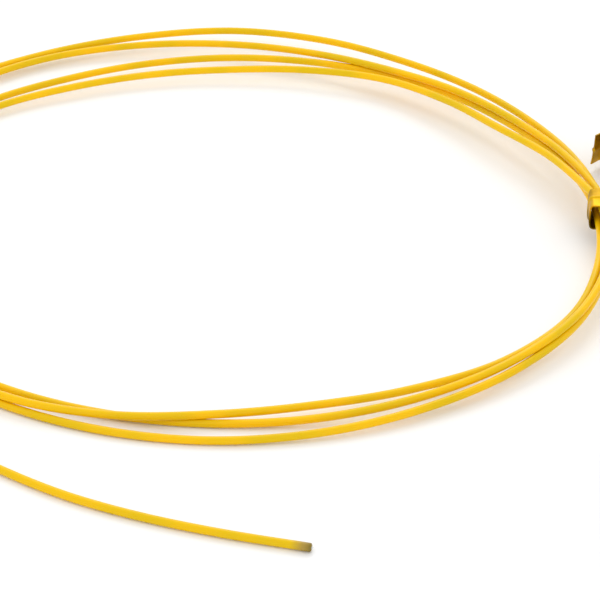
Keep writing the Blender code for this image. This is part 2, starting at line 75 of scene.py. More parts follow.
# How far the turns lie outside the coil's radius, in millimetres at every twelfth of a turn,
# clockwise from the near left
TURN_OFFSETS = [
    9.3, 7.3, 6.5, 7.0, 6.3, 5.6, 1.3, -0.1, 1.0, 2.7, 1.5, 0.8,
    0.4, 0.8, 3.0, 4.6, 4.8, 1.4, -3.1, -2.8, 1.0, 2.6, -0.1, -2.3,
    -2.2, -0.9, 0.1, 0.8, -1.5, -1.8, -2.6, -2.6, 0.0, 1.3, -2.3, -2.5,
    0.1, -0.2, -0.9, -0.8, -4.3, -5.5, -4.5, -4.9, 0.0,
]

# Height of the turns' middle at the same places: flat at the near left, lifted at the tie
TURN_HEIGHTS = [
    0.5, 0.5, 0.6, 0.8, 1.2, 1.7, 2.3, 2.7, 3.1, 2.1, 1.1, 0.5,
    0.5, 0.5, 0.7, 1.0, 1.2, 1.7, 3.0, 3.7, 4.05, 3.0, 1.4, 0.5,
    0.5, 0.5, 0.5, 0.7, 1.1, 1.4, 2.0, 2.7, 3.1, 2.1, 1.0, 1.3,
    1.4, 1.4, 1.2, 1.0, 1.3, 1.6, 2.4, 3.4, 4.5,
]

# Where a turn strays between those places: the place's number and the millimetres outwards
TURN_STRAYS = [(4.5, -0.5), (18.5, 0.4), (19.5, -0.25), (33.5, 0.5), (34.5, -0.7), (43.1, -0.3)]

# How finely a smooth curve is worked out: its parts between two points, and a step along it
CURVE_PARTS = 16
FINE_STEP = 0.05 * MM

# The tail's points from its cut end to the coil: the angle in degrees, and the millimetres outside
# the coil's radius. It lies on the floor.
TAIL_POINTS = [
    (279.0, 19.8),
    (271.0, 16.7),
    (263.0, 14.4),
    (255.0, 12.5),
    (247.0, 10.7),
]

# The lead's points from the coil to the boot, in millimetres: outwards from the coil's radius,
# along the plug and up
LEAD_POINTS = [
    (0.7, -4.6, 4.75),
    (1.9, -9.0, 4.85),
    (3.9, -13.2, 4.6),
    (6.0, -17.2, 4.15),
    (7.5, -20.7, 3.85),
    (8.3, -23.5, 3.7),
]

# The twist tie: its place and how far it holds the turns on either side, in degrees round the coil,
# and the points of its stem and its two free ends, measured as the lead is
TIE_ANGLE = -2.5
TIE_HELD_ANGLE = 3.0
TIE_HELD_REACH = 3.0 * MM
TIE_STEM_TURNS = 1.2
TIE_NECK = 0.8 * MM
TIE_LAYER_SPACING = 0.7 * MM
TIE_LOOSENESS = 0.1 * MM
TIE_STEPS = 90
TIE_END_STEPS = 24
TIE_STEM_POINTS = [
    (5.0, -2.0, 3.7),
    (6.6, -1.0, 3.3),
    (7.4, 1.6, 2.9),
    (7.4, 5.6, 2.6),
    (6.9, 9.4, 2.6),
    (5.9, 13.6, 2.6),
]
TIE_END_A_POINTS = [
    (4.2, 15.2, 2.7),
    (2.6, 15.3, 2.8),
    (1.2, 13.9, 2.9),
]
TIE_END_B_POINTS = [
    (6.1, 16.6, 3.0),
    (7.2, 18.9, 3.3),
    (8.6, 20.8, 3.6),
]

# The corners of the tie's loop, as shares of its half width outwards and its half height
TIE_LOOP_CORNERS = [
    (1.0, 0.8), (0.45, 1.0), (-0.45, 1.0), (-0.92, 0.85), (-1.0, 0.0),
    (-0.92, -0.85), (-0.45, -1.0), (0.45, -1.0), (1.0, -0.8),
]

# The ribbon's section, as shares of its half width, closer together over the wire
RIBBON_SHARES = [-1.0, -0.7, -0.4, -0.2, -0.12, -0.05, 0.05, 0.12, 0.2, 0.4, 0.7, 1.0]
WIRE_SHOULDER = 0.8
CRINKLE_SCALE = 420.0

# Painted shade on the foil: darker away from the loop's lit side, which is outwards and up, a little at the
# stem's two edges, and so much more at its free ends
LIT_OUTWARDS = 0.8
LIT_UP = 0.6
STEM_PAINTED_SHADE = (0.1, 0.2)
END_PAINTED_SHADE = 0.7

# The cut end's rods, each by its diameters within and at its end, and how far it reaches in and out
COATING_DIAMETER = 0.25 * MM
GLASS_DIAMETER = 0.125 * MM
CUT_SIDES = 20
LIP_RODS = [
    (CORD_DIAMETER, 0.93 * CORD_DIAMETER, 0.02 * MM, 0.08 * MM),
    (0.90 * CORD_DIAMETER, 0.70 * CORD_DIAMETER, 0.02 * MM, 0.14 * MM),
]
CORE_RODS = [
    (COATING_DIAMETER, COATING_DIAMETER, 0.2 * MM, 0.22 * MM),
    (GLASS_DIAMETER, GLASS_DIAMETER, 0.2 * MM, 0.30 * MM),
]

# Where the plug's pieces lie, read from their solids
SLEEVE_LOW, SLEEVE_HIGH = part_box("coupling_sleeve")
HOUSING_LOW, HOUSING_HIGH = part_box("inner_housing")
FERRULE_LOW, FERRULE_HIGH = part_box("ferrule")
FLANGE_LOW, FLANGE_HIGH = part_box("ferrule_flange")
CRIMP_LOW, CRIMP_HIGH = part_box("crimp_body")
BOOT_LOW, BOOT_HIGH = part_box("boot")
CAP_LOW, CAP_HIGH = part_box("dust_cap")
AXIS_HEIGHT = (BOOT_LOW.z + BOOT_HIGH.z) / 2
BOOT_EXIT = Vector((0.0, BOOT_HIGH.y, AXIS_HEIGHT))

# The plug's fits, as its solids have them
CLEARANCE = 0.3 * MM
SLEEVE_SIDE_WALL = 0.9 * MM
SLEEVE_TOP_WALL = 0.75 * MM
SLEEVE_TRAVEL = 2.0 * MM
KEY_WIDTH = 2.1 * MM
KEY_LENGTH = 9.0 * MM
KEY_SETBACK = 0.8 * MM
KEY_LEAD_IN = 0.5 * MM
WINDOW_SETBACK = 3.0 * MM
WINDOW_HEIGHT = 3.4 * MM
LUG_LENGTH = 3.4 * MM
LUG_HEIGHT = 2.6 * MM
LUG_RISE = 0.8 * MM
LUG_RAMP = 1.3 * MM
HOUSING_BORE = 4.4 * MM
MOUTH_DEPTH = 5.0 * MM
MOUTH_CHAMFER = 0.25 * MM
WEB_THICKNESS = 0.8 * MM
POCKET_SETBACK = 1.5 * MM
POCKET_LENGTH = 2.0 * MM
POCKET_DEPTH = 0.35 * MM
FERRULE_DIAMETER = 2.5 * MM
FERRULE_FIT = FERRULE_DIAMETER + 2 * CLEARANCE
FLANGE_DIAMETER = HOUSING_BORE - 2 * CLEARANCE
CUP_BOTTOM = 1.0 * MM
STEM_DIAMETER = 2.2 * MM
STEM_BORE = 0.6 * MM
SPRING_BORE = 2.8 * MM
SPRING_BORE_DEPTH = 5.5 * MM
SHOULDER_DIAMETER = 5.2 * MM
SHOULDER_LENGTH = 1.7 * MM
BARREL_DIAMETER = 4.0 * MM
CORD_FIT = CORD_DIAMETER + 2 * CLEARANCE
BOOT_COLLAR_LENGTH = 5.4 * MM
BOOT_FRONT_DIAMETER = 5.3 * MM
BOOT_SHOULDER_DIAMETER = 4.9 * MM
BOOT_TAIL_DIAMETER = 2.9 * MM
BOOT_GROOVE_START = 11.0 * MM
CAP_END_WALL = 1.2 * MM
CAP_WALL = 0.35 * MM
CAP_KNOB_DIAMETER = 5.0 * MM
CAP_KNOB_LENGTH = 3.0 * MM

# The plug's fine detail, which its solids leave out; the two angles are in radians
PANEL_SIDE_MARGIN = 1.2 * MM
PANEL_END_MARGIN = 1.3 * MM
PANEL_KEY_GAP = 1.4 * MM
PANEL_CORNER = 0.5 * MM
TIP_DOME = [(0.0, 0.0), (0.004, 0.1), (0.012, 0.25), (0.022, 0.4), (0.035, 0.55), (0.055, 0.7)]
TIP_CONE_START = 0.07 * MM
TIP_CONE_SHARE = 0.74
TIP_CONE_END = 0.40 * MM
TIP_ROUNDING = 0.05 * MM
FERRULE_REAR_CHAMFER = 0.15 * MM
KEYWAY_LENGTH = 1.1 * MM
KEYWAY_DEPTH = 0.12 * MM
KEYWAY_HALF_ANGLE = 0.16
RIM_THICKNESS = 0.2 * MM
METAL_ROUNDING = 0.12 * MM
KNURL_RIB_RADIUS = 0.1 * MM
KNURL_MARGIN = 0.2 * MM
BOOT_ROUNDING = 0.16 * MM
BRIDGE_BLEND_ANGLE = 0.24
BRIDGE_FILL = 0.94
CAP_ROUNDING = 0.15 * MM
CAP_RIM_THICKNESS = 0.3 * MM
FACES_PER_CAP_RIB = 8

# How far a cutting helper reaches past what it cuts, and how close two vertices count as one
BEYOND = 1.0 * MM
SAME_VERTEX = 0.0002 * MM
SAME_TURNED_VERTEX = 0.0001 * MM

# The angles between two faces, in degrees, past which their edge stays sharp or is broken
SHARP_ANGLE = 35.0
BROKEN_EDGE_ANGLE = 40.0

# The camera, where the photograph was taken from, with its sensor's width in millimetres, the soft
# light's turn and how far the table reaches
CAMERA_PLACE = Vector((-42.68 * MM, -225.80 * MM, 165.10 * MM))
CAMERA_PITCH = math.radians(32.0)
CAMERA_NEAREST = 0.01
SENSOR_WIDTH = 36.0
SUN_TURN = (math.radians(-46), math.radians(6), 0)
TABLE_REACH = 1.5


# Helpers for objects, nodes and materials

def link(obj):
    """Puts an object into the scene's collection and returns it."""
    bpy.context.scene.collection.objects.link(obj)
    return obj


def add_node(tree, kind, inputs=None, **settings):
    """A node with its settings, and its inputs given as values or as the sockets that feed them."""
    node = tree.nodes.new(kind)
    for key, value in settings.items():
        setattr(node, key, value)
    for key, value in (inputs or {}).items():
        if isinstance(value, bpy.types.NodeSocket):
            tree.links.new(value, node.inputs[key])
        else:
            node.inputs[key].default_value = value
    return node


def output_of(tree, kind, inputs, **settings):
    """The first output of a new node, made as add_node makes it."""
    return add_node(tree, kind, inputs, **settings).outputs[0]


def new_finish(name, colour, roughness, sockets=None):
    """A material with its shader's plain values set, returned with its tree and its shader."""
    material = bpy.data.materials.new(name)
    material.use_nodes = True
    tree = material.node_tree
    shader = tree.nodes["Principled BSDF"]
    shader.inputs["Base Color"].default_value = (*colour, 1.0)
    shader.inputs["Roughness"].default_value = roughness
    for key, value in (sockets or {}).items():
        shader.inputs[key].default_value = value
    return material, tree, shader


def mixed_colours(tree, factor, first, second):
    """The colour socket that goes from the first colour to the second as factor goes from 0 to 1."""
    node = tree.nodes.new("ShaderNodeMix")
    node.data_type = "RGBA"
    for socket, value in ((node.inputs[0], factor), (node.inputs[6], first), (node.inputs[7], second)):
        if isinstance(value, bpy.types.NodeSocket):
            tree.links.new(value, socket)
        else:
            socket.default_value = (*value, 1.0)
    return node.outputs[2]


def spread(tree, value, low, high, to_low=0.0, to_high=1.0):
    """The socket that maps value from one range to another and stops at its ends."""
    return output_of(tree, "ShaderNodeMapRange", {
        "Value": value, "From Min": low, "From Max": high, "To Min": to_low, "To Max": to_high,
    })


def mesh_value(tree, name):
    """The socket of a value that the piece's vertices carry under a name."""
    return add_node(tree, "ShaderNodeAttribute", attribute_name=name).outputs["Fac"]


def own_place(tree, middle=(0.0, 0.0, 0.0), stretch=(1.0, 1.0, 1.0)):
    """The socket of the piece's own coordinates, measured from middle and stretched along each axis."""
    place = add_node(tree, "ShaderNodeTexCoord").outputs["Object"]
    moved = output_of(tree, "ShaderNodeVectorMath", {0: place, 1: middle}, operation="SUBTRACT")
    return output_of(tree, "ShaderNodeVectorMath", {0: moved, 1: stretch}, operation="MULTIPLY")


def grain(tree, scale, detail=2.0, stretch=(1.0, 1.0, 1.0)):
    """Noise on the piece's own coordinates, in patches of about one over scale."""
    place = own_place(tree, stretch=stretch)
    return output_of(tree, "ShaderNodeTexNoise", {"Vector": place, "Scale": scale, "Detail": detail})


def paint(tree, shader, colour, roughness):
    """Feeds a shader the sockets of its colour and its roughness."""
    tree.links.new(colour, shader.inputs["Base Color"])
    tree.links.new(roughness, shader.inputs["Roughness"])


def relief(tree, shader, height, distance, strength=1.0):
    """Bump on a shader from a height socket, so many metres deep."""
    bump = add_node(tree, "ShaderNodeBump", {"Height": height, "Distance": distance, "Strength": strength})
    tree.links.new(bump.outputs["Normal"], shader.inputs["Normal"])


# Materials

def buffer_finish(settings):
    """Glossy golden yellow buffer, uneven along its length and duller over the last stretch to its cut."""
    material, tree, shader = new_finish("buffer_yellow", settings.colour, settings.roughness, {
        "Specular IOR Level": 0.18,
        "Subsurface Weight": 0.10,
        "Subsurface Radius": (0.5, 0.25, 0.05),
        "Subsurface Scale": 0.4 * MM,
    })
    along = mesh_value(tree, "along")
    wander = output_of(
        tree, "ShaderNodeTexNoise", {"W": along, "Scale": 90.0, "Detail": 2.0}, noise_dimensions="1D",
    )
    uneven = mixed_colours(tree, spread(tree, wander, 0.38, 0.62), settings.colour, settings.deep_colour)
    dull = spread(tree, along, settings.dull_length, settings.dull_length * 0.35)
    dulled = mixed_colours(tree, dull, uneven, settings.dull_colour)
    end = spread(tree, along, settings.dull_length * 0.3, 0.0, 0.0, 0.6)
    colours = mixed_colours(tree, end, dulled, settings.end_colour)
    gloss = spread(tree, grain(tree, 900.0), 0.3, 0.7, settings.roughness - 0.05, settings.roughness + 0.08)
    paint(tree, shader, colours, gloss)
    relief(tree, shader, grain(tree, 2500.0, 3.0), 0.006 * MM)
    return material


def core_finish():
    """The clear glass thread and its coating at the cut end."""
    glass = (0.80, 0.84, 0.86)
    material, tree, shader = new_finish("core_glass", glass, 0.12, {"Specular IOR Level": 0.6})
    cloudy = mixed_colours(tree, spread(tree, grain(tree, 4000.0), 0.4, 0.6), glass, (0.62, 0.66, 0.66))
    tree.links.new(cloudy, shader.inputs["Base Color"])
    return material


def foil_finish(settings):
    """Gold foil over paper, creased in random patches and darker with painted shade where it faces away from
    the light and at its free ends, with the wire showing as a paler line.
    """
    material, tree, shader = new_finish("foil_gold", settings.colour, 0.45, {"Metallic": 1.0})
    from_wire = output_of(tree, "ShaderNodeMath", {0: mesh_value(tree, "across")}, operation="ABSOLUTE")
    # The painted shade carried on the ribbon's vertices, added to the random creases
    darkened = mesh_value(tree, "darkened")
    crease = spread(tree, grain(tree, 260.0, 3.0), 0.45, 0.70, 0.0, 0.5)
    marked = output_of(tree, "ShaderNodeMath", {0: darkened, 1: crease}, operation="ADD", use_clamp=True)
    patches = mixed_colours(tree, marked, settings.colour, settings.deep_colour)
    over_wire = spread(tree, from_wire, 0.16, 0.04, 0.0, 0.45)
    worn = mixed_colours(tree, over_wire, patches, settings.wire_colour)
    paint(tree, shader, worn, spread(tree, grain(tree, 700.0), 0.3, 0.7, 0.38, 0.58))
    relief(tree, shader, grain(tree, 520.0, 4.0), 0.08 * MM, 0.7)
    return material


def moulded_finish(name, colour, roughness, sockets=None, cloud=0.10, fine=1500.0, depth=0.012 * MM):
    """Moulded plastic: a little cloudy and unevenly glossy, with a fine matt grain."""
    material, tree, shader = new_finish(name, colour, roughness, sockets)
    deep = tuple(part * (1 - cloud) for part in colour)
    cloudy = mixed_colours(tree, spread(tree, grain(tree, 160.0, 3.0), 0.35, 0.65), colour, deep)
    scuffs = grain(tree, 500.0, 3.0, stretch=(3.0, 0.5, 3.0))
    paint(tree, shader, cloudy, spread(tree, scuffs, 0.3, 0.7, roughness - 0.06, roughness + 0.08))
    relief(tree, shader, grain(tree, fine, 3.0), depth)
    return material


def ceramic_finish():
    """Polished white ceramic with the fibre's end as a small dark dot in its middle."""
    white = (0.86, 0.85, 0.80)
    material, tree, shader = new_finish("ceramic_polished", white, 0.10, {
        "Specular IOR Level": 0.7, "Coat Weight": 0.3, "Coat Roughness": 0.05,
    })
    side = own_place(tree, (0.0, 0.0, AXIS_HEIGHT), (1.0, 0.0, 1.0))
    off_axis = add_node(tree, "ShaderNodeVectorMath", {0: side}, operation="LENGTH").outputs["Value"]
    dot = spread(tree, off_axis, 0.07 * MM, 0.055 * MM)
    cloudy = mixed_colours(tree, spread(tree, grain(tree, 300.0), 0.3, 0.7), white, (0.80, 0.79, 0.74))
    dotted = mixed_colours(tree, dot, cloudy, (0.05, 0.06, 0.07))
    paint(tree, shader, dotted, spread(tree, grain(tree, 2000.0), 0.3, 0.7, 0.07, 0.15))
    return material


def nickel_finish(name, tone, roughness):
    """Turned and plated metal with fine rings from the tool round its axis."""
    material, tree, shader = new_finish(name, tone, roughness, {"Metallic": 1.0})
    rings = add_node(tree, "ShaderNodeTexWave", {
        "Vector": own_place(tree), "Scale": 2600.0, "Distortion": 1.5, "Detail": 2.0,
    }, bands_direction="Y").outputs["Fac"]
    deep = tuple(part * 0.86 for part in tone)
    tarnish = mixed_colours(tree, spread(tree, grain(tree, 400.0), 0.35, 0.7), tone, deep)
    paint(tree, shader, tarnish, spread(tree, rings, 0.0, 1.0, roughness - 0.05, roughness + 0.07))
    relief(tree, shader, rings, 0.004 * MM, 0.6)
    return material


def stage_finish():
    """The matt white of the table under the pigtail."""
    return new_finish("stage_white", (0.93, 0.93, 0.93), 0.9, {"Specular IOR Level": 0.1})[0]


# The fibre's route

def eased(before, start, end, after, t):
    """The smooth value at a share t of the way from start to end, by the values on either side of them."""
    bend = 2 * before - 5 * start + 4 * end - after + t * (3 * (start - end) + after - before)
    return start + 0.5 * t * (end - before + t * bend)


def smooth_value(values, position):
    """A smooth value between evenly spaced values."""
    index = min(int(position), len(values) - 2)
    before = values[index - 1] if index else 2 * values[0] - values[1]
    after = values[index + 2] if index + 2 < len(values) else 2 * values[-1] - values[-2]
    return eased(before, values[index], values[index + 1], after, position - index)


def round_coil(degrees, offset, height):
    """A point at an angle round the coil, outside its radius and above the floor."""
    angle = math.radians(degrees)
    radius = COIL_RADIUS + offset
    return COIL_CENTRE + Vector((radius * math.cos(angle), radius * math.sin(angle), height))


def beside_coil(point):
    """A point given in millimetres outwards from the coil's right side, along the plug and up."""
    outwards, along, up = point
    return COIL_CENTRE + Vector((COIL_RADIUS + outwards * MM, along * MM, up * MM))


def stray(place):
    """How far a turn strays outwards at a place along the turns, in millimetres."""
    near = [(place - middle, most) for middle, most in TURN_STRAYS if abs(place - middle) < 1]
    return sum(most * math.cos(math.pi / 2 * away) ** 2 for away, most in near)


def coil_points():
    """The middle of the coiled fibre, clockwise from where the tail joins."""
    points = []
    turns = (len(TURN_OFFSETS) - 1) / KNOTS_PER_TURN
    for step in range(round(turns * COIL_STEPS_PER_TURN) + 1):
        turn = step / COIL_STEPS_PER_TURN
        place = turn * KNOTS_PER_TURN
        offset = smooth_value(TURN_OFFSETS, place) + stray(place)
        height = max(smooth_value(TURN_HEIGHTS, place) * MM, LOWEST_HEIGHT)
        points.append(round_coil(COIL_START_ANGLE - 360 * turn, offset * MM, height))
    return points


def resample(points, count):
    """So many evenly spaced points along a smooth curve through the given points."""
    fine = smooth_curve(points, FINE_STEP)
    return [fine[round(number * (len(fine) - 1) / (count - 1))] for number in range(count)]


def smooth_curve(points, step):
    """Points a step apart along a smooth curve through the given points."""
    fine = []
    ends = [2 * points[0] - points[1]] + list(points) + [2 * points[-1] - points[-2]]
    for four in zip(ends, ends[1:], ends[2:], ends[3:]):
        fine += [eased(*four, part / CURVE_PARTS) for part in range(CURVE_PARTS)]
    fine.append(points[-1])
    along = [0.0]
    for p, q in zip(fine, fine[1:]):
        along.append(along[-1] + (q - p).length)
    count = max(1, round(along[-1] / step))
    result = []
    for number in range(count + 1):
        distance = along[-1] * number / count
        index = min(max(bisect.bisect_right(along, distance) - 1, 0), len(fine) - 2)
        share = (distance - along[index]) / (along[index + 1] - along[index])
        result.append(fine[index].lerp(fine[index + 1], share))
    return result


def fibre_route(step):
    """The fibre's middle from its cut end, round the coil and into the boot."""
    tail = [round_coil(degrees, offset * MM, LOWEST_HEIGHT) for degrees, offset in TAIL_POINTS]
    lead = [beside_coil(p) for p in LEAD_POINTS] + [BOOT_EXIT, BOOT_EXIT - Vector((0, LEAD_IN_BOOT, 0))]
    return smooth_curve(tail + coil_points() + lead, step)


def tie_path(route, settings):
    """The ribbon's middle, its width and face directions and its two edges' painted shade, from end to end.
    """
    tie_angle = math.radians(TIE_ANGLE)
    outwards = Vector((math.cos(tie_angle), math.sin(tie_angle), 0.0))
    along = Vector((-math.sin(tie_angle), math.cos(tie_angle), 0.0))
    up = Vector((0.0, 0.0, 1.0))

    def held(point):
        """Whether a point of the fibre lies within the tie's loop."""
        away = math.degrees((point - COIL_CENTRE).xy.angle_signed(outwards.xy, 180.0))
        near = (point - COIL_CENTRE).xy.length < COIL_RADIUS + TIE_HELD_REACH
        return near and abs(away) <= TIE_HELD_ANGLE

    bundle = [point for point in route if held(point)]
    reach = CORD_DIAMETER / 2 + TIE_LOOSENESS + settings.thickness / 2
    radii = [(point - COIL_CENTRE).dot(outwards) for point in bundle]
    heights = [point.z for point in bundle]
    middle = COIL_CENTRE + outwards * (min(radii) + max(radii)) / 2 + up * (min(heights) + max(heights)) / 2
    half_width = (max(radii) - min(radii)) / 2 + reach
    half_height = (max(heights) - min(heights)) / 2 + reach
    layer = TIE_LAYER_SPACING / 2

    neck = middle + outwards * (half_width + TIE_NECK)
    stem = resample([neck] + [beside_coil(point) for point in TIE_STEM_POINTS], TIE_STEPS)
    width = along
    upper = []
    lower = []
    for number, point in enumerate(stem):
        ahead = stem[min(number + 1, len(stem) - 1)] - stem[max(number - 1, 0)]
        ahead.normalize()
        width = (width - ahead * width.dot(ahead)).normalized()
        turn = Matrix.Rotation(math.tau * TIE_STEM_TURNS * number / (len(stem) - 1), 3, ahead)
        turned_width = turn @ width
        face = ahead.cross(turned_width)
        # The stem's painted shade, a little more at one edge than at the other
        upper.append((point + face * layer, turned_width, face, STEM_PAINTED_SHADE))
        lower.append((point - face * layer, turned_width, -face, STEM_PAINTED_SHADE))

    def free_end(start, points, side):
        """Carries the ribbon on from the stem along its own points."""
        place, direction, *_ = start
        carried = []
        ends = resample([place] + [beside_coil(point) for point in points], TIE_END_STEPS)
        for number, (before, here) in enumerate(zip(ends, ends[1:])):
            ahead = (here - before).normalized()
            direction = (direction - ahead * direction.dot(ahead)).normalized()
            # Painted shade along one edge of the free end, growing towards its tip
            brown = STEM_PAINTED_SHADE[1] + END_PAINTED_SHADE * (number / TIE_END_STEPS) ** 3
            carried.append((here, direction, ahead.cross(direction) * side, (STEM_PAINTED_SHADE[0], brown)))
        return carried

    loop = []
    corners = [
        middle + outwards * (out * half_width) + up * (over * half_height) for out, over in TIE_LOOP_CORNERS
    ]
    around = resample([upper[0][0]] + corners + [lower[0][0]], TIE_STEPS)
    # Painted shade on the loop: the further it faces away from its lit side, the darker
    lit_side = LIT_OUTWARDS * outwards + LIT_UP * up
    for before, here, after in zip(around, around[1:], around[2:]):
        ahead = (after - before).normalized()
        painted_shading = max(0.0, -(here - middle).normalized().dot(lit_side)) ** 2
        loop.append((here, along, along.cross(ahead), (painted_shading, painted_shading)))
    end_a = free_end(upper[-1], TIE_END_A_POINTS, 1)
    end_b = free_end(lower[-1], TIE_END_B_POINTS, -1)
    return end_a[::-1] + upper[::-1] + loop + lower + end_b


# Mesh helpers

def finished(name, bm, material, sharp_degrees=SHARP_ANGLE):
    """A piece from a bmesh, with outward faces and smooth where it is round."""
    bmesh.ops.remove_doubles(bm, verts=bm.verts, dist=SAME_VERTEX)
    bmesh.ops.recalc_face_normals(bm, faces=bm.faces)
    mesh = bpy.data.meshes.new(name)
    bm.to_mesh(mesh)
    bm.free()
    return smoothed(link(bpy.data.objects.new(name, mesh)), material, sharp_degrees)


def smoothed(piece, material, sharp_degrees=SHARP_ANGLE):
    """Gives a piece its material, and smooth shading where its faces meet at less than an angle."""
    piece.data.materials.clear()
    piece.data.materials.append(material)
    piece.data.shade_smooth()
    piece.data.set_sharp_from_angle(angle=math.radians(sharp_degrees))
    return piece


def hand_over(piece, body, slot, *nodes):
    """Gives a finished piece to a body, in place of its solids. Its slot is not used."""
    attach(piece, body)
    if nodes:
        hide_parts(*nodes)


def block(low, high, rounding=0.0):
    """A bmesh box between two corners, its edges rounded."""
    low, high = Vector(low), Vector(high)
    bm = bmesh.new()
    bmesh.ops.create_cube(bm, size=1.0)
    size = Matrix.Diagonal((*(high - low), 1.0))
    bmesh.ops.transform(bm, matrix=Matrix.Translation((low + high) / 2) @ size, verts=bm.verts)
    if rounding:
        bmesh.ops.bevel(bm, geom=bm.edges[:], offset=rounding, segments=4, profile=0.5, affect="EDGES")
    return bm


def raised(outline, low, high):
    """A bmesh of a flat outline, raised from one height to another."""
    bm = bmesh.new()
    bottom = [bm.verts.new((x, y, low)) for x, y in outline]
    top = [bm.verts.new((x, y, high)) for x, y in outline]
    bm.faces.new(bottom[::-1])
    bm.faces.new(top)
    for number in range(len(outline)):
        after = (number + 1) % len(outline)
        bm.faces.new((bottom[number], bottom[after], top[after], top[number]))
    bmesh.ops.recalc_face_normals(bm, faces=bm.faces)
    return bm


def softened(outline, radius):
    """A closed outline of places and radii with its corners rounded, apart from those on the axis."""
    most = 0.45
    parts = 3
    soft = []
    for before, corner, after in zip(outline[-1:] + outline[:-1], outline, outline[1:] + outline[:1]):
        here = Vector(corner)
        if here.y <= 0:
            soft.append(corner)
            continue
        back, on = Vector(before) - here, Vector(after) - here
        start = here + back.normalized() * min(radius, back.length * most)
        end = here + on.normalized() * min(radius, on.length * most)
        for number in range(parts + 1):
            t = number / parts
            soft.append(tuple((1 - t) ** 2 * start + 2 * t * (1 - t) * here + t * t * end))
    return soft


def turned(outline, sides, shape=None):
    """A bmesh turned about the plug's axis from a closed outline of places along it and radii.

    shape may change a radius by its place and its angle round the axis.
    """
    bm = bmesh.new()
    columns = []
    for number in range(sides):
        angle = math.tau * number / sides
        radii = [shape(along, radius, angle) if shape else radius for along, radius in outline]
        columns.append([
            bm.verts.new((r * math.sin(angle), along, AXIS_HEIGHT + r * math.cos(angle)))
            for (along, _), r in zip(outline, radii)
        ])
    for column, following in zip(columns, columns[1:] + columns[:1]):
        for number in range(len(outline)):
            after = (number + 1) % len(outline)
            if outline[number][1] > 0 or outline[after][1] > 0:
                bm.faces.new((column[number], column[after], following[after], following[number]))
    bmesh.ops.remove_doubles(bm, verts=bm.verts, dist=SAME_TURNED_VERTEX)
    bmesh.ops.recalc_face_normals(bm, faces=bm.faces)
    return bm


def carved(name, bm, steps, edge):
    """A piece made from a body by adding and cutting helpers in order, its edges then broken a little."""
    def as_object(label, shape):
        """The object itself, or a new one from a bmesh."""
        if isinstance(shape, bpy.types.Object):
            return shape
        mesh = bpy.data.meshes.new(label)
        shape.to_mesh(mesh)
        shape.free()
        return link(bpy.data.objects.new(label, mesh))

    body = as_object(name + "_body", bm)
    helpers = []
    for operation, shape in steps:
        helper = as_object(name + "_helper", shape)
        modifier = body.modifiers.new("carve", "BOOLEAN")
        modifier.operation = operation
        modifier.solver = "EXACT"
        modifier.object = helper
        helpers.append(helper)
    bevel = body.modifiers.new("edges", "BEVEL")
    bevel.width = edge
    bevel.segments = 2
    bevel.limit_method = "ANGLE"
    bevel.angle_limit = math.radians(BROKEN_EDGE_ANGLE)
    graph = bpy.context.evaluated_depsgraph_get()
    mesh = bpy.data.meshes.new_from_object(body.evaluated_get(graph))
    for helper in helpers + [body]:
        bpy.data.objects.remove(helper)
    mesh.name = name
    return link(bpy.data.objects.new(name, mesh))


# Helpers for geometry trees

def new_tree(name, sizes):
    """A geometry tree with named inputs, returned with its inputs' sockets and its result's."""
    tree = bpy.data.node_groups.new(name, "GeometryNodeTree")
    tree.is_modifier = True
    kinds = {"float": "NodeSocketFloat", "int": "NodeSocketInt", "finish": "NodeSocketMaterial"}
    tree.interface.new_socket("Geometry", in_out="INPUT", socket_type="NodeSocketGeometry")
    for label, kind in sizes:
        tree.interface.new_socket(label, in_out="INPUT", socket_type=kinds[kind])
    tree.interface.new_socket("Geometry", in_out="OUTPUT", socket_type="NodeSocketGeometry")
    return tree, tree.nodes.new("NodeGroupInput").outputs, tree.nodes.new("NodeGroupOutput").inputs


def close_tree(tree, geometry, finish, result):
    """Ends a tree with Realize Instances and Set Material."""
    real = output_of(tree, "GeometryNodeRealizeInstances", {"Geometry": geometry})
    painted = output_of(tree, "GeometryNodeSetMaterial", {"Geometry": real, "Material": finish})
    tree.links.new(painted, result["Geometry"])


def on_points(tree, points, instance):
    """The geometry socket that sets an instance on each of the points."""
    return output_of(tree, "GeometryNodeInstanceOnPoints", {"Points": points, "Instance": instance})


def run_tree(name, mesh, tree, values):
    """Runs a tree on a mesh and returns the plain piece that comes out."""
    source = link(bpy.data.objects.new(name + "_source", mesh))
    modifier = source.modifiers.new(tree.name, "NODES")
    modifier.node_group = tree
    for item in tree.interface.items_tree:
        if item.in_out == "INPUT" and item.name in values:
            modifier[item.identifier] = values[item.name]
    graph = bpy.context.evaluated_depsgraph_get()
    made = bpy.data.meshes.new_from_object(
        source.evaluated_get(graph), preserve_all_data_layers=True, depsgraph=graph,
    )
    bpy.data.objects.remove(source)
    made.name = name
    return link(bpy.data.objects.new(name, made))


# The trees of what repeats or follows a path

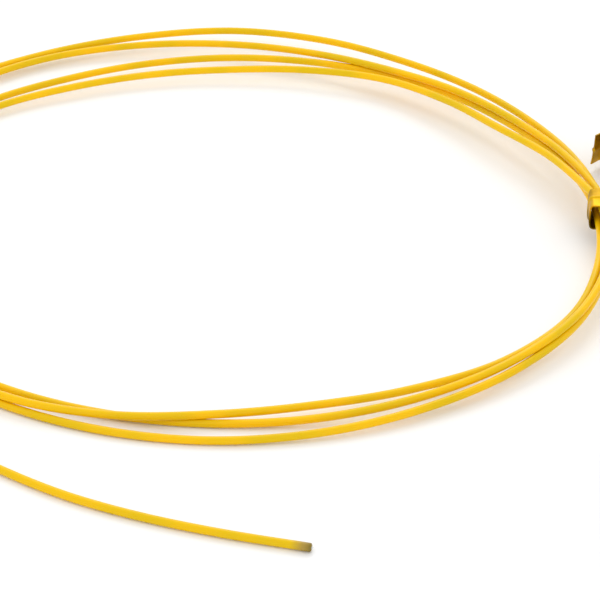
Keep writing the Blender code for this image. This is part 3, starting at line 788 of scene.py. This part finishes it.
def fibre_tree():
    """A tree that lays a round tube along a line of vertices and keeps the length along it as a value."""
    tree, given, result = new_tree("Fibre along its route", [
        ("Diameter", "float"), ("Sides", "int"), ("Ring Spacing", "float"), ("Finish", "finish"),
    ])
    line = output_of(tree, "GeometryNodeMeshToCurve", {"Mesh": given["Geometry"]})
    rings = output_of(tree, "GeometryNodeResampleCurve", {
        "Curve": line, "Length": given["Ring Spacing"],
    }, mode="LENGTH")
    measured = add_node(tree, "GeometryNodeSplineParameter").outputs["Length"]
    marked = output_of(tree, "GeometryNodeStoreNamedAttribute", {
        "Geometry": rings, "Name": "along", "Value": measured,
    }, data_type="FLOAT", domain="POINT")
    radius = output_of(tree, "ShaderNodeMath", {0: given["Diameter"], 1: 0.5}, operation="MULTIPLY")
    section = output_of(tree, "GeometryNodeCurvePrimitiveCircle", {
        "Resolution": given["Sides"], "Radius": radius,
    })
    tube = output_of(tree, "GeometryNodeCurveToMesh", {
        "Curve": marked, "Profile Curve": section, "Fill Caps": True,
    })
    smooth = output_of(tree, "GeometryNodeSetShadeSmooth", {"Geometry": tube})
    close_tree(tree, smooth, given["Finish"], result)
    return tree


def grip_tree():
    """A tree that sets a row of upright round bars behind each vertex it is given."""
    tree, given, result = new_tree("Rows of grip bars", [
        ("Bars", "int"), ("Pitch", "float"), ("Bar Radius", "float"), ("Bar Height", "float"),
        ("Finish", "finish"),
    ])
    back = output_of(tree, "ShaderNodeMath", {0: given["Pitch"], 1: -1.0}, operation="MULTIPLY")
    offset = output_of(tree, "ShaderNodeCombineXYZ", {"Y": back})
    row = output_of(tree, "GeometryNodeMeshLine", {"Count": given["Bars"], "Offset": offset})
    rows = on_points(tree, given["Geometry"], row)
    places = output_of(tree, "GeometryNodeRealizeInstances", {"Geometry": rows})
    bar = output_of(tree, "GeometryNodeMeshCylinder", {
        "Vertices": 24, "Radius": given["Bar Radius"], "Depth": given["Bar Height"],
    })
    close_tree(tree, on_points(tree, places, bar), given["Finish"], result)
    return tree


def knurl_tree():
    """A tree that sets fine ribs in a ring about the plug's direction, round each vertex it is given."""
    tree, given, result = new_tree("Ring of ribs", [
        ("Ribs", "int"), ("Ring Radius", "float"), ("Rib Radius", "float"), ("Rib Length", "float"),
        ("Finish", "finish"),
    ])
    quarter = (math.pi / 2, 0.0, 0.0)
    ring = output_of(tree, "GeometryNodeMeshCircle", {
        "Vertices": given["Ribs"], "Radius": given["Ring Radius"],
    })
    upright = output_of(tree, "GeometryNodeTransform", {"Geometry": ring, "Rotation": quarter})
    rod = output_of(tree, "GeometryNodeMeshCylinder", {
        "Vertices": 10, "Radius": given["Rib Radius"], "Depth": given["Rib Length"],
    })
    rib = output_of(tree, "GeometryNodeTransform", {"Geometry": rod, "Rotation": quarter})
    ribs = on_points(tree, upright, rib)
    close_tree(tree, on_points(tree, given["Geometry"], ribs), given["Finish"], result)
    return tree


# Settings that a user may change

class PigtailCordSettings(bpy.types.PropertyGroup):
    """The buffered fibre's size and colours."""
    diameter: FloatProperty(
        name="Diameter", description="Outer diameter of the fibre's buffer",
        default=CORD_DIAMETER, min=0.25 * MM, max=3 * MM, unit="LENGTH", precision=5,
    )
    sides: IntProperty(name="Sides", description="Faces round the buffer", default=20, min=8, max=48)
    ring_spacing: FloatProperty(
        name="Ring Spacing", description="Distance between the rings of vertices along the fibre",
        default=0.8 * MM, min=0.2 * MM, max=5 * MM, unit="LENGTH", precision=5,
    )
    colour: FloatVectorProperty(
        name="Colour", description="The buffer's colour",
        subtype="COLOR", default=(0.93, 0.54, 0.0), min=0, max=1,
    )
    deep_colour: FloatVectorProperty(
        name="Deep Colour", description="The deeper tone that the colour wanders to along the fibre",
        subtype="COLOR", default=(0.78, 0.51, 0.0), min=0, max=1,
    )
    dull_colour: FloatVectorProperty(
        name="Dull Colour", description="The browned tone next to the cut end",
        subtype="COLOR", default=(0.42, 0.28, 0.05), min=0, max=1,
    )
    end_colour: FloatVectorProperty(
        name="End Colour", description="The dark olive of the cut itself",
        subtype="COLOR", default=(0.16, 0.12, 0.02), min=0, max=1,
    )
    dull_length: FloatProperty(
        name="Dull Length", description="Length of the browned stretch at the cut end",
        default=2.0 * MM, min=0, max=20 * MM, unit="LENGTH", precision=5,
    )
    roughness: FloatProperty(
        name="Roughness", description="Roughness of the buffer's gloss",
        default=0.32, min=0.1, max=0.9, subtype="FACTOR",
    )


class PigtailTieSettings(bpy.types.PropertyGroup):
    """The twist tie's ribbon and its colours."""
    width: FloatProperty(
        name="Width", description="Width of the ribbon",
        default=4.0 * MM, min=1 * MM, max=8 * MM, unit="LENGTH", precision=5,
    )
    thickness: FloatProperty(
        name="Thickness", description="Thickness of the ribbon beside its wire",
        default=0.16 * MM, min=0.05 * MM, max=0.5 * MM, unit="LENGTH", precision=5,
    )
    wire_diameter: FloatProperty(
        name="Wire Diameter", description="Diameter of the wire that shows as a ridge along the middle",
        default=0.55 * MM, min=0.2 * MM, max=1 * MM, unit="LENGTH", precision=5,
    )
    crinkle: FloatProperty(
        name="Crinkle", description="How far the ribbon's edges wave out of its plane",
        default=0.22 * MM, min=0, max=1 * MM, unit="LENGTH", precision=5,
    )
    colour: FloatVectorProperty(
        name="Colour", description="The foil's gold",
        subtype="COLOR", default=(0.66, 0.38, 0.008), min=0, max=1,
    )
    # The deep colour is also the painted shade where the foil faces away from the light and at its free
    # ends, besides the brown of its creases
    deep_colour: FloatVectorProperty(
        name="Deep Colour", description="The brown that the foil turns to in its creases",
        subtype="COLOR", default=(0.15, 0.090, 0.002), min=0, max=1,
    )
    wire_colour: FloatVectorProperty(
        name="Wire Colour", description="The paler gold where the foil lies over the wire",
        subtype="COLOR", default=(0.70, 0.46, 0.03), min=0, max=1,
    )


class PigtailPlugSettings(bpy.types.PropertyGroup):
    """The plug's grips, its roundness and its colours."""
    sides: IntProperty(
        name="Sides", description="Faces round each turned piece", default=96, min=24, max=192,
    )
    sleeve_rounding: FloatProperty(
        name="Sleeve Rounding", description="Radius of the sleeve's and the housing's outer edges",
        default=0.4 * MM, min=0.1 * MM, max=0.6 * MM, unit="LENGTH", precision=5,
    )
    broken_edge: FloatProperty(
        name="Broken Edge", description="How far the cut edges are broken",
        default=0.07 * MM, min=0.01 * MM, max=0.2 * MM, unit="LENGTH", precision=5,
    )
    grip_bars: IntProperty(
        name="Grip Grooves", description="Grooves on each side of the sleeve", default=5, min=1, max=8,
    )
    grip_pitch: FloatProperty(
        name="Grip Pitch", description="Distance from one groove to the next",
        default=1.7 * MM, min=0.9 * MM, max=3 * MM, unit="LENGTH", precision=5,
    )
    grip_width: FloatProperty(
        name="Grip Width", description="Width of a groove",
        default=0.9 * MM, min=0.3 * MM, max=1.5 * MM, unit="LENGTH", precision=5,
    )
    grip_depth: FloatProperty(
        name="Grip Depth", description="Depth of a groove",
        default=0.35 * MM, min=0.1 * MM, max=0.6 * MM, unit="LENGTH", precision=5,
    )
    grip_setback: FloatProperty(
        name="Grip Setback", description="Distance from the sleeve's rear end to its first groove",
        default=2.0 * MM, min=0.5 * MM, max=4 * MM, unit="LENGTH", precision=5,
    )
    recess_depth: FloatProperty(
        name="Recess Depth", description="Depth of the shallow panels in the sleeve's top and bottom",
        default=0.2 * MM, min=0.05 * MM, max=0.4 * MM, unit="LENGTH", precision=5,
    )
    knurl_ribs: IntProperty(
        name="Knurl Ribs", description="Ribs round the crimp's shoulder", default=40, min=8, max=80,
    )
    boot_grooves: IntProperty(
        name="Boot Grooves", description="Grooves along the boot", default=6, min=1, max=7,
    )
    boot_pitch: FloatProperty(
        name="Boot Pitch", description="Distance from one groove of the boot to the next",
        default=1.9 * MM, min=1.2 * MM, max=3 * MM, unit="LENGTH", precision=5,
    )
    boot_groove_width: FloatProperty(
        name="Boot Groove Width", description="Width of a groove of the boot",
        default=0.8 * MM, min=0.3 * MM, max=1.2 * MM, unit="LENGTH", precision=5,
    )
    boot_groove_depth: FloatProperty(
        name="Boot Groove Depth", description="Depth of a groove of the boot",
        default=0.45 * MM, min=0.1 * MM, max=0.6 * MM, unit="LENGTH", precision=5,
    )
    bridge_angle: FloatProperty(
        name="Bridge Angle", description="Angle round the boot that each bridge over a groove takes",
        default=math.radians(44), min=0, max=math.radians(120), unit="ROTATION",
    )
    cap_ribs: IntProperty(
        name="Cap Ribs", description="Ribs round the dust cap's knob", default=18, min=6, max=36,
    )
    cap_rib_height: FloatProperty(
        name="Cap Rib Height", description="Height of the dust cap's ribs",
        default=0.16 * MM, min=0, max=0.4 * MM, unit="LENGTH", precision=5,
    )
    sleeve_colour: FloatVectorProperty(
        name="Sleeve Colour", description="The coupling sleeve's blue",
        subtype="COLOR", default=(0.015, 0.11, 0.46), min=0, max=1,
    )
    housing_colour: FloatVectorProperty(
        name="Housing Colour", description="The inner housing's off-white",
        subtype="COLOR", default=(0.74, 0.74, 0.69), min=0, max=1,
    )
    boot_colour: FloatVectorProperty(
        name="Boot Colour", description="The boot's white",
        subtype="COLOR", default=(0.72, 0.72, 0.70), min=0, max=1,
    )
    cap_colour: FloatVectorProperty(
        name="Cap Colour", description="The milky tint of the dust cap",
        subtype="COLOR", default=(0.80, 0.86, 0.88), min=0, max=1,
    )


class PigtailStageSettings(bpy.types.PropertyGroup):
    """The camera's lens and the lights."""
    lens: FloatProperty(
        name="Lens", description="Focal length for a sensor 36 mm wide", default=166.83, min=20, max=300,
    )
    sky: FloatProperty(
        name="Sky", description="Strength of the light from all round", default=1.05, min=0, max=5,
    )
    sun: FloatProperty(
        name="Sun", description="Strength of the soft light from behind", default=0.6, min=0, max=10,
    )
    sun_spread: FloatProperty(
        name="Sun Spread", description="Angle that the soft light comes from, which blurs the shadows",
        default=math.radians(28), min=0, max=math.pi, unit="ROTATION",
    )


# Operators, one for the stage and one for each piece or group of like pieces

class PIGTAIL_OT_set_stage(bpy.types.Operator):
    """Lays the pale floor, lights it softly from behind and sets the camera at the photograph's place"""
    bl_idname = "pigtail.set_stage"
    bl_label = "Set the Stage"

    def execute(self, context):
        settings = context.scene.pigtail_stage
        scene = context.scene
        reach = TABLE_REACH
        corners = [(-reach, -reach, 0), (reach, -reach, 0), (reach, reach, 0), (-reach, reach, 0)]
        mesh = bpy.data.meshes.new("table_top")
        mesh.from_pydata(corners, [], [(0, 1, 2, 3)])
        mesh.materials.append(stage_finish())
        link(bpy.data.objects.new("table_top", mesh))

        world = bpy.data.worlds.new("studio")
        world.use_nodes = True
        background = world.node_tree.nodes["Background"]
        background.inputs["Color"].default_value = (1.0, 1.0, 1.0, 1.0)
        background.inputs["Strength"].default_value = settings.sky
        scene.world = world

        light = bpy.data.lights.new("soft_sun", "SUN")
        light.energy = settings.sun
        light.angle = settings.sun_spread
        sun = link(bpy.data.objects.new("soft_sun", light))
        sun.rotation_euler = SUN_TURN

        camera_data = bpy.data.cameras.new("camera")
        camera_data.sensor_width = SENSOR_WIDTH
        camera_data.lens = settings.lens
        camera_data.clip_start = CAMERA_NEAREST
        camera = link(bpy.data.objects.new("camera", camera_data))
        camera.location = CAMERA_PLACE
        camera.rotation_euler = (math.pi / 2 - CAMERA_PITCH, 0, 0)
        scene.camera = camera
        scene.view_settings.view_transform = "Standard"
        return {"FINISHED"}


class PIGTAIL_OT_wrap_tie(bpy.types.Operator):
    """Wraps the foil ribbon round the turns and twists its two ends together"""
    bl_idname = "pigtail.wrap_tie"
    bl_label = "Wrap the Twist Tie"

    def execute(self, context):
        settings = context.scene.pigtail_tie
        half = settings.width / 2
        thin = settings.thickness / 2
        ridge = settings.wire_diameter / 2 - thin
        shoulder = WIRE_SHOULDER * settings.wire_diameter / 2

        def rise(across):
            """The ribbon's half thickness at a share of its half width, over the wire in its middle."""
            return thin + ridge * math.exp(-(across * half / shoulder) ** 2)

        section = [(across, rise(across)) for across in RIBBON_SHARES]
        section += [(across, -rise(across)) for across in reversed(RIBBON_SHARES)]
        bm = bmesh.new()
        mark = bm.verts.layers.float.new("across")
        # Painted shade, kept on each vertex as a share between the ribbon's two edges
        painted_shading = bm.verts.layers.float.new("darkened")
        rings = []
        path = tie_path(fibre_route(CORD_DIAMETER / 2), settings)
        for place, width, face, (shade_low, shade_high) in path:
            face = face.normalized()
            ring = []
            for across, up in section:
                edge = place + width * across * half
                wave = noise.noise(edge * CRINKLE_SCALE) * settings.crinkle * abs(across)
                vertex = bm.verts.new(edge + face * (up + wave))
                vertex[mark] = across
                vertex[painted_shading] = shade_low + (shade_high - shade_low) * (across + 1) / 2
                ring.append(vertex)
            rings.append(ring)
        for ring, following in zip(rings, rings[1:]):
            for number in range(len(ring)):
                after = (number + 1) % len(ring)
                bm.faces.new((ring[number], ring[after], following[after], following[number]))
        bm.faces.new(rings[0])
        bm.faces.new(rings[-1])
        piece = finished("twist_ribbon", bm, foil_finish(settings), sharp_degrees=50.0)
        hand_over(piece, "plug", "tie", "twist_tie")
        return {"FINISHED"}


class PIGTAIL_OT_cut_end(bpy.types.Operator):
    """Rounds the lip of the fibre's cut end and sets the coated glass core into it"""
    bl_idname = "pigtail.cut_end"
    bl_label = "Show the Cut End"

    def execute(self, context):
        route = fibre_route(CORD_DIAMETER / 2)
        outwards = (route[0] - route[1]).normalized()
        turn = outwards.to_track_quat("Z", "Y").to_matrix().to_4x4()

        def rods(sizes):
            """A bmesh of rods through the cut."""
            bm = bmesh.new()
            for inner, outer, inside, outside in sizes:
                middle = route[0] + outwards * (outside - inside) / 2
                bmesh.ops.create_cone(
                    bm, cap_ends=True, segments=CUT_SIDES, radius1=inner / 2, radius2=outer / 2,
                    depth=inside + outside, matrix=Matrix.Translation(middle) @ turn,
                )
            return bm

        lip = finished("cut_lip", rods(LIP_RODS), buffer_finish(context.scene.pigtail_cord))
        hand_over(lip, "plug", "cord")
        core = finished("fibre_core", rods(CORE_RODS), core_finish())
        hand_over(core, "plug", "cord")
        return {"FINISHED"}


class PIGTAIL_OT_lay_fibre(bpy.types.Operator):
    """Lays the buffered fibre along its route, from its cut end round the coil to the boot"""
    bl_idname = "pigtail.lay_fibre"
    bl_label = "Lay the Fibre"

    def execute(self, context):
        settings = context.scene.pigtail_cord
        route = fibre_route(CORD_DIAMETER / 2)
        mesh = bpy.data.meshes.new("route")
        mesh.from_pydata(route, [(number, number + 1) for number in range(len(route) - 1)], [])
        piece = run_tree("buffered_fibre", mesh, fibre_tree(), {
            "Diameter": settings.diameter,
            "Sides": settings.sides,
            "Ring Spacing": settings.ring_spacing,
            "Finish": buffer_finish(settings),
        })
        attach(piece, "plug")
        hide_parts("fibre_lead", "fibre_coil", "fibre_tail")
        return {"FINISHED"}


class PIGTAIL_OT_mould_sleeve(bpy.types.Operator):
    """Moulds the coupling sleeve with its key, windows, recessed panels and grip grooves"""
    bl_idname = "pigtail.mould_sleeve"
    bl_label = "Mould the Sleeve"

    def execute(self, context):
        settings = context.scene.pigtail_plug
        gloss = {"Specular IOR Level": 0.5}
        finish = moulded_finish("sleeve_blue_moulded", settings.sleeve_colour, 0.36, gloss)
        front, rear = SLEEVE_LOW.y, SLEEVE_HIGH.y
        side = SLEEVE_HIGH.x
        top = 2 * AXIS_HEIGHT
        key_half = KEY_WIDTH / 2
        key_front = front + KEY_SETBACK
        key_rear = key_front + KEY_LENGTH
        key = raised([
            (-key_half + KEY_LEAD_IN, key_front), (key_half - KEY_LEAD_IN, key_front),
            (key_half, key_front + KEY_LEAD_IN), (key_half, key_rear),
            (-key_half, key_rear), (-key_half, key_front + KEY_LEAD_IN),
        ], top - SLEEVE_TOP_WALL / 2, SLEEVE_HIGH.z)
        cavity = block(
            (-side + SLEEVE_SIDE_WALL, front - BEYOND, SLEEVE_TOP_WALL),
            (side - SLEEVE_SIDE_WALL, rear + BEYOND, top - SLEEVE_TOP_WALL),
        )
        window_front = front + WINDOW_SETBACK
        window_rear = window_front + LUG_LENGTH + SLEEVE_TRAVEL + 2 * CLEARANCE
        windows = block(
            (-side - BEYOND, window_front, AXIS_HEIGHT - WINDOW_HEIGHT / 2),
            (side + BEYOND, window_rear, AXIS_HEIGHT + WINDOW_HEIGHT / 2),
        )
        panel_half = side - PANEL_SIDE_MARGIN
        panel_rear = rear - PANEL_END_MARGIN
        upper_panel = block(
            (-panel_half, key_rear + PANEL_KEY_GAP, top - settings.recess_depth),
            (panel_half, panel_rear, top + BEYOND), PANEL_CORNER,
        )
        lower_panel = block(
            (-panel_half, front + PANEL_END_MARGIN, -BEYOND),
            (panel_half, panel_rear, settings.recess_depth), PANEL_CORNER,
        )
        bar_radius = settings.grip_width / 2
        first_bar = rear - settings.grip_setback - bar_radius
        off = side + bar_radius - settings.grip_depth
        starts = bpy.data.meshes.new("grip_starts")
        starts.from_pydata([(-off, first_bar, AXIS_HEIGHT), (off, first_bar, AXIS_HEIGHT)], [], [])
        grips = run_tree("grip_bars", starts, grip_tree(), {
            "Bars": settings.grip_bars, "Pitch": settings.grip_pitch, "Bar Radius": bar_radius,
            "Bar Height": 2 * top, "Finish": finish,
        })
        steps = [("UNION", key)]
        steps += [("DIFFERENCE", cutter) for cutter in (cavity, windows, upper_panel, lower_panel, grips)]
        body = block((-side, front, 0.0), (side, rear, top), settings.sleeve_rounding)
        piece = carved("sleeve_shell", body, steps, settings.broken_edge)
        hand_over(smoothed(piece, finish), "sleeve", "sleeve", "coupling_sleeve")
        return {"FINISHED"}


class PIGTAIL_OT_mould_housing(bpy.types.Operator):
    """Moulds the inner housing with its ramped lugs, its bores and the pockets beside its nose"""
    bl_idname = "pigtail.mould_housing"
    bl_label = "Mould the Inner Housing"

    def execute(self, context):
        settings = context.scene.pigtail_plug
        gloss = {"Specular IOR Level": 0.45}
        finish = moulded_finish("housing_white_moulded", settings.housing_colour, 0.42, gloss)
        front, rear = HOUSING_LOW.y, HOUSING_HIGH.y
        side = HOUSING_HIGH.x - LUG_RISE
        lug_front = SLEEVE_LOW.y + WINDOW_SETBACK + CLEARANCE + SLEEVE_TRAVEL
        lug_rear = lug_front + LUG_LENGTH
        lug_bottom = AXIS_HEIGHT - LUG_HEIGHT / 2
        lug_top = AXIS_HEIGHT + LUG_HEIGHT / 2
        pocket_front = front + POCKET_SETBACK
        steps = []
        for hand in (-1, 1):
            lug = raised([
                (hand * (side - LUG_RISE), lug_front), (hand * side, lug_front),
                (hand * HOUSING_HIGH.x, lug_front + LUG_RAMP), (hand * HOUSING_HIGH.x, lug_rear),
                (hand * (side - LUG_RISE), lug_rear),
            ], lug_bottom, lug_top)
            inner, outer = sorted((hand * (side - POCKET_DEPTH), hand * (side + BEYOND)))
            pocket = block(
                (inner, pocket_front, lug_bottom), (outer, pocket_front + POCKET_LENGTH, lug_top),
            )
            steps += [("UNION", lug), ("DIFFERENCE", pocket)]
        web_front = front + MOUTH_DEPTH
        web_rear = web_front + WEB_THICKNESS
        bore = HOUSING_BORE / 2
        bores = turned([
            (front - MOUTH_CHAMFER, 0.0), (front - MOUTH_CHAMFER, bore + 2 * MOUTH_CHAMFER),
            (front + MOUTH_CHAMFER, bore), (web_front, bore), (web_front, FERRULE_FIT / 2),
            (web_rear, FERRULE_FIT / 2), (web_rear, bore), (rear + BEYOND, bore), (rear + BEYOND, 0.0),
        ], settings.sides // 2)
        steps.append(("DIFFERENCE", bores))
        body = block((-side, front, HOUSING_LOW.z), (side, rear, HOUSING_HIGH.z), settings.sleeve_rounding)
        piece = carved("housing_shell", body, steps, settings.broken_edge)
        hand_over(smoothed(piece, finish), "plug", "housing", "inner_housing")
        return {"FINISHED"}


class PIGTAIL_OT_turn_ferrule(bpy.types.Operator):
    """Grinds the ceramic ferrule and turns the flange that holds it"""
    bl_idname = "pigtail.turn_ferrule"
    bl_label = "Make the Ferrule"

    def execute(self, context):
        settings = context.scene.pigtail_plug
        tip, rear = FERRULE_LOW.y, FERRULE_HIGH.y
        radius = FERRULE_DIAMETER / 2
        cone = [(tip + TIP_CONE_START, TIP_CONE_SHARE * radius), (tip + TIP_CONE_END, radius)]
        chamfer = FERRULE_REAR_CHAMFER
        outline = [(tip + along * MM, share * radius) for along, share in TIP_DOME]
        # The cone's side, by the two points just inside each of its two corners
        outline += softened(cone, TIP_ROUNDING)[2:6]
        outline += [(rear - chamfer, radius), (rear, radius - chamfer), (rear, 0.0)]
        rod = finished("ferrule_rod", turned(outline, settings.sides), ceramic_finish(), sharp_degrees=50.0)
        hand_over(rod, "ferrule", "ceramic", "ferrule")

        cup_bottom = rear + CLEARANCE
        cup_rear = cup_bottom + CUP_BOTTOM
        front, stem_rear = FLANGE_LOW.y, FLANGE_HIGH.y
        keyway_rear = front + KEYWAY_LENGTH
        rim, stem, stem_bore = FLANGE_DIAMETER / 2, STEM_DIAMETER / 2, STEM_BORE / 2

        def keyed(along, radius, angle):
            """Cuts two keyways into the front of the rim."""
            beside = abs((angle + math.pi / 2) % math.pi - math.pi / 2)
            on_rim = along < keyway_rear and radius > rim - RIM_THICKNESS
            return radius - KEYWAY_DEPTH if on_rim and beside < KEYWAY_HALF_ANGLE else radius

        cup = softened([
            (front, FERRULE_FIT / 2), (front, rim), (keyway_rear, rim), (cup_rear, rim),
            (cup_rear, stem), (stem_rear, stem), (stem_rear, stem_bore), (cup_bottom, stem_bore),
            (cup_bottom, FERRULE_FIT / 2),
        ], METAL_ROUNDING)
        finish = nickel_finish("flange_nickel", (0.62, 0.60, 0.56), 0.26)
        flange = finished("flange_cup", turned(cup, settings.sides, keyed), finish)
        hand_over(flange, "ferrule", "metal", "ferrule_flange")
        return {"FINISHED"}


class PIGTAIL_OT_turn_crimp(bpy.types.Operator):
    """Turns the crimp body and knurls its shoulder"""
    bl_idname = "pigtail.turn_crimp"
    bl_label = "Turn the Crimp Body"

    def execute(self, context):
        settings = context.scene.pigtail_plug
        finish = nickel_finish("crimp_nickel", (0.60, 0.58, 0.54), 0.30)
        front, rear = CRIMP_LOW.y, CRIMP_HIGH.y
        shoulder_front = HOUSING_HIGH.y + CLEARANCE
        barrel_front = shoulder_front + SHOULDER_LENGTH
        bore_rear = front + SPRING_BORE_DEPTH
        spigot = (HOUSING_BORE - 2 * CLEARANCE) / 2
        shoulder = (SHOULDER_DIAMETER - KNURL_RIB_RADIUS) / 2
        outline = softened([
            (front, SPRING_BORE / 2), (front, spigot), (shoulder_front, spigot), (shoulder_front, shoulder),
            (barrel_front, shoulder), (barrel_front, BARREL_DIAMETER / 2), (rear, BARREL_DIAMETER / 2),
            (rear, CORD_FIT / 2), (bore_rear, CORD_FIT / 2), (bore_rear, SPRING_BORE / 2),
        ], METAL_ROUNDING)
        turning = finished("crimp_turning", turned(outline, settings.sides), finish)
        hand_over(turning, "plug", "metal", "crimp_body")
        ring = bpy.data.meshes.new("knurl_middle")
        ring.from_pydata([(0.0, shoulder_front + SHOULDER_LENGTH / 2, AXIS_HEIGHT)], [], [])
        knurl = run_tree("crimp_knurl", ring, knurl_tree(), {
            "Ribs": settings.knurl_ribs, "Ring Radius": shoulder - KNURL_RIB_RADIUS / 4,
            "Rib Radius": KNURL_RIB_RADIUS, "Rib Length": SHOULDER_LENGTH - 2 * KNURL_MARGIN,
            "Finish": finish,
        })
        hand_over(smoothed(knurl, finish, sharp_degrees=60.0), "plug", "metal")
        return {"FINISHED"}


class PIGTAIL_OT_mould_boot(bpy.types.Operator):
    """Moulds the tapering boot, with two bridges left over each groove so that it bends"""
    bl_idname = "pigtail.mould_boot"
    bl_label = "Mould the Boot"

    def execute(self, context):
        settings = context.scene.pigtail_plug
        front, rear = BOOT_LOW.y, BOOT_HIGH.y
        collar_rear = front + BOOT_COLLAR_LENGTH
        barrel_fit = BARREL_DIAMETER / 2 + CLEARANCE
        bore_rear = CRIMP_HIGH.y + CLEARANCE
        taper = (BOOT_SHOULDER_DIAMETER - BOOT_TAIL_DIAMETER) / 2 / (rear - collar_rear)
        depth = settings.boot_groove_depth

        def skin(along):
            """The boot's outer radius at a place along it."""
            return BOOT_SHOULDER_DIAMETER / 2 - taper * (along - collar_rear)

        outline = [
            (front, barrel_fit), (front, BOOT_FRONT_DIAMETER / 2), (collar_rear, BOOT_FRONT_DIAMETER / 2),
            (collar_rear, skin(collar_rear)),
        ]
        first = front + BOOT_GROOVE_START
        for number in range(settings.boot_grooves):
            groove = first + number * settings.boot_pitch
            groove_rear = groove + settings.boot_groove_width
            outline += [
                (groove, skin(groove)), (groove, skin(groove) - depth),
                (groove_rear, skin(groove_rear) - depth), (groove_rear, skin(groove_rear)),
            ]
        outline += [
            (rear, BOOT_TAIL_DIAMETER / 2), (rear, CORD_FIT / 2), (bore_rear, CORD_FIT / 2),
            (bore_rear, barrel_fit),
        ]

        def bridged(along, radius, angle):
            """Fills a groove again at its two bridges, turned a quarter from one groove to the next."""
            number = math.floor((along - first + BOOT_ROUNDING) / settings.boot_pitch)
            start = first + number * settings.boot_pitch
            before_rear = along < start + settings.boot_groove_width + BOOT_ROUNDING
            in_groove = 0 <= number < settings.boot_grooves and before_rear
            if not in_groove or radius < skin(along) - 2 * depth:
                return radius
            beside = abs((angle + number * math.pi / 2 + math.pi / 2) % math.pi - math.pi / 2)
            blend = BRIDGE_BLEND_ANGLE
            share = min(max((settings.bridge_angle / 2 + blend / 2 - beside) / blend, 0.0), 1.0)
            fill = BRIDGE_FILL * share * share * (3 - 2 * share)
            return radius + (skin(along) - radius) * fill

        finish = moulded_finish(
            "boot_white_rubber", settings.boot_colour, 0.55, {"Specular IOR Level": 0.3},
            cloud=0.06, fine=1100.0, depth=0.02 * MM,
        )
        body = turned(softened(outline, BOOT_ROUNDING), settings.sides, bridged)
        piece = finished("boot_rubber", body, finish)
        hand_over(piece, "plug", "boot", "boot")
        return {"FINISHED"}


class PIGTAIL_OT_mould_cap(bpy.types.Operator):
    """Moulds the milky dust cap with its ribbed knob"""
    bl_idname = "pigtail.mould_cap"
    bl_label = "Mould the Dust Cap"

    def execute(self, context):
        settings = context.scene.pigtail_plug
        end, rear = CAP_LOW.y, CAP_HIGH.y
        knob = CAP_KNOB_DIAMETER / 2
        knob_rear = end + CAP_KNOB_LENGTH
        bore = FERRULE_FIT / 2
        tube = bore + CAP_WALL
        bottom = end + CAP_END_WALL
        side = softened([
            (end, knob), (knob_rear, knob), (knob_rear, tube), (rear, tube), (rear, bore), (bottom, bore),
        ], CAP_ROUNDING)
        outline = [(end, 0.0)] + side + [(bottom, 0.0)]

        def ribbed(along, radius, angle):
            """Sinks the knob's rim between its ribs."""
            if radius < knob - CAP_RIM_THICKNESS or along > knob_rear:
                return radius
            return radius - settings.cap_rib_height * (0.5 - 0.5 * math.cos(settings.cap_ribs * angle))

        milky = {"Transmission Weight": 0.72, "IOR": 1.49}
        finish = moulded_finish("cap_milky", settings.cap_colour, 0.28, milky, cloud=0.05)
        body = turned(outline, settings.cap_ribs * FACES_PER_CAP_RIB, ribbed)
        piece = finished("cap_shell", body, finish)
        hand_over(piece, "cap", "cap", "dust_cap")
        return {"FINISHED"}


class PIGTAIL_PT_panel(bpy.types.Panel):
    """Lists the pigtail's operators and the settings that they read"""
    bl_label = "Fibre Pigtail"
    bl_idname = "PIGTAIL_PT_panel"
    bl_space_type = "VIEW_3D"
    bl_region_type = "UI"
    bl_category = "Pigtail"

    def draw(self, context):
        """Shows a button for each operator, in the order that they run in, and then every setting."""
        for operator in OPERATORS:
            self.layout.operator(operator.bl_idname)
        for name, group in SETTINGS.items():
            box = self.layout.box()
            for setting in group.__annotations__:
                box.prop(getattr(context.scene, name), setting)


SETTINGS = {
    "pigtail_cord": PigtailCordSettings,
    "pigtail_tie": PigtailTieSettings,
    "pigtail_plug": PigtailPlugSettings,
    "pigtail_stage": PigtailStageSettings,
}
OPERATORS = [
    PIGTAIL_OT_set_stage,
    PIGTAIL_OT_wrap_tie,
    PIGTAIL_OT_cut_end,
    PIGTAIL_OT_lay_fibre,
    PIGTAIL_OT_mould_sleeve,
    PIGTAIL_OT_mould_housing,
    PIGTAIL_OT_turn_ferrule,
    PIGTAIL_OT_turn_crimp,
    PIGTAIL_OT_mould_boot,
    PIGTAIL_OT_mould_cap,
]


def register():
    """Registers the settings, the operators and the panel."""
    for group in SETTINGS.values():
        bpy.utils.register_class(group)
    for name, group in SETTINGS.items():
        setattr(bpy.types.Scene, name, PointerProperty(type=group))
    for operator in OPERATORS:
        bpy.utils.register_class(operator)
    bpy.utils.register_class(PIGTAIL_PT_panel)


def unregister():
    """Takes the panel, the operators and the settings away again."""
    bpy.utils.unregister_class(PIGTAIL_PT_panel)
    for operator in reversed(OPERATORS):
        bpy.utils.unregister_class(operator)
    for name in SETTINGS:
        delattr(bpy.types.Scene, name)
    for group in SETTINGS.values():
        bpy.utils.unregister_class(group)


def main():
    """Registers the classes and makes every piece in order."""
    register()
    bpy.ops.pigtail.set_stage()
    bpy.ops.pigtail.wrap_tie()
    bpy.ops.pigtail.cut_end()
    bpy.ops.pigtail.lay_fibre()
    bpy.ops.pigtail.mould_sleeve()
    bpy.ops.pigtail.mould_housing()
    bpy.ops.pigtail.turn_ferrule()
    bpy.ops.pigtail.turn_crimp()
    bpy.ops.pigtail.mould_boot()
    bpy.ops.pigtail.mould_cap()


if __name__ == "__main__":
    main()
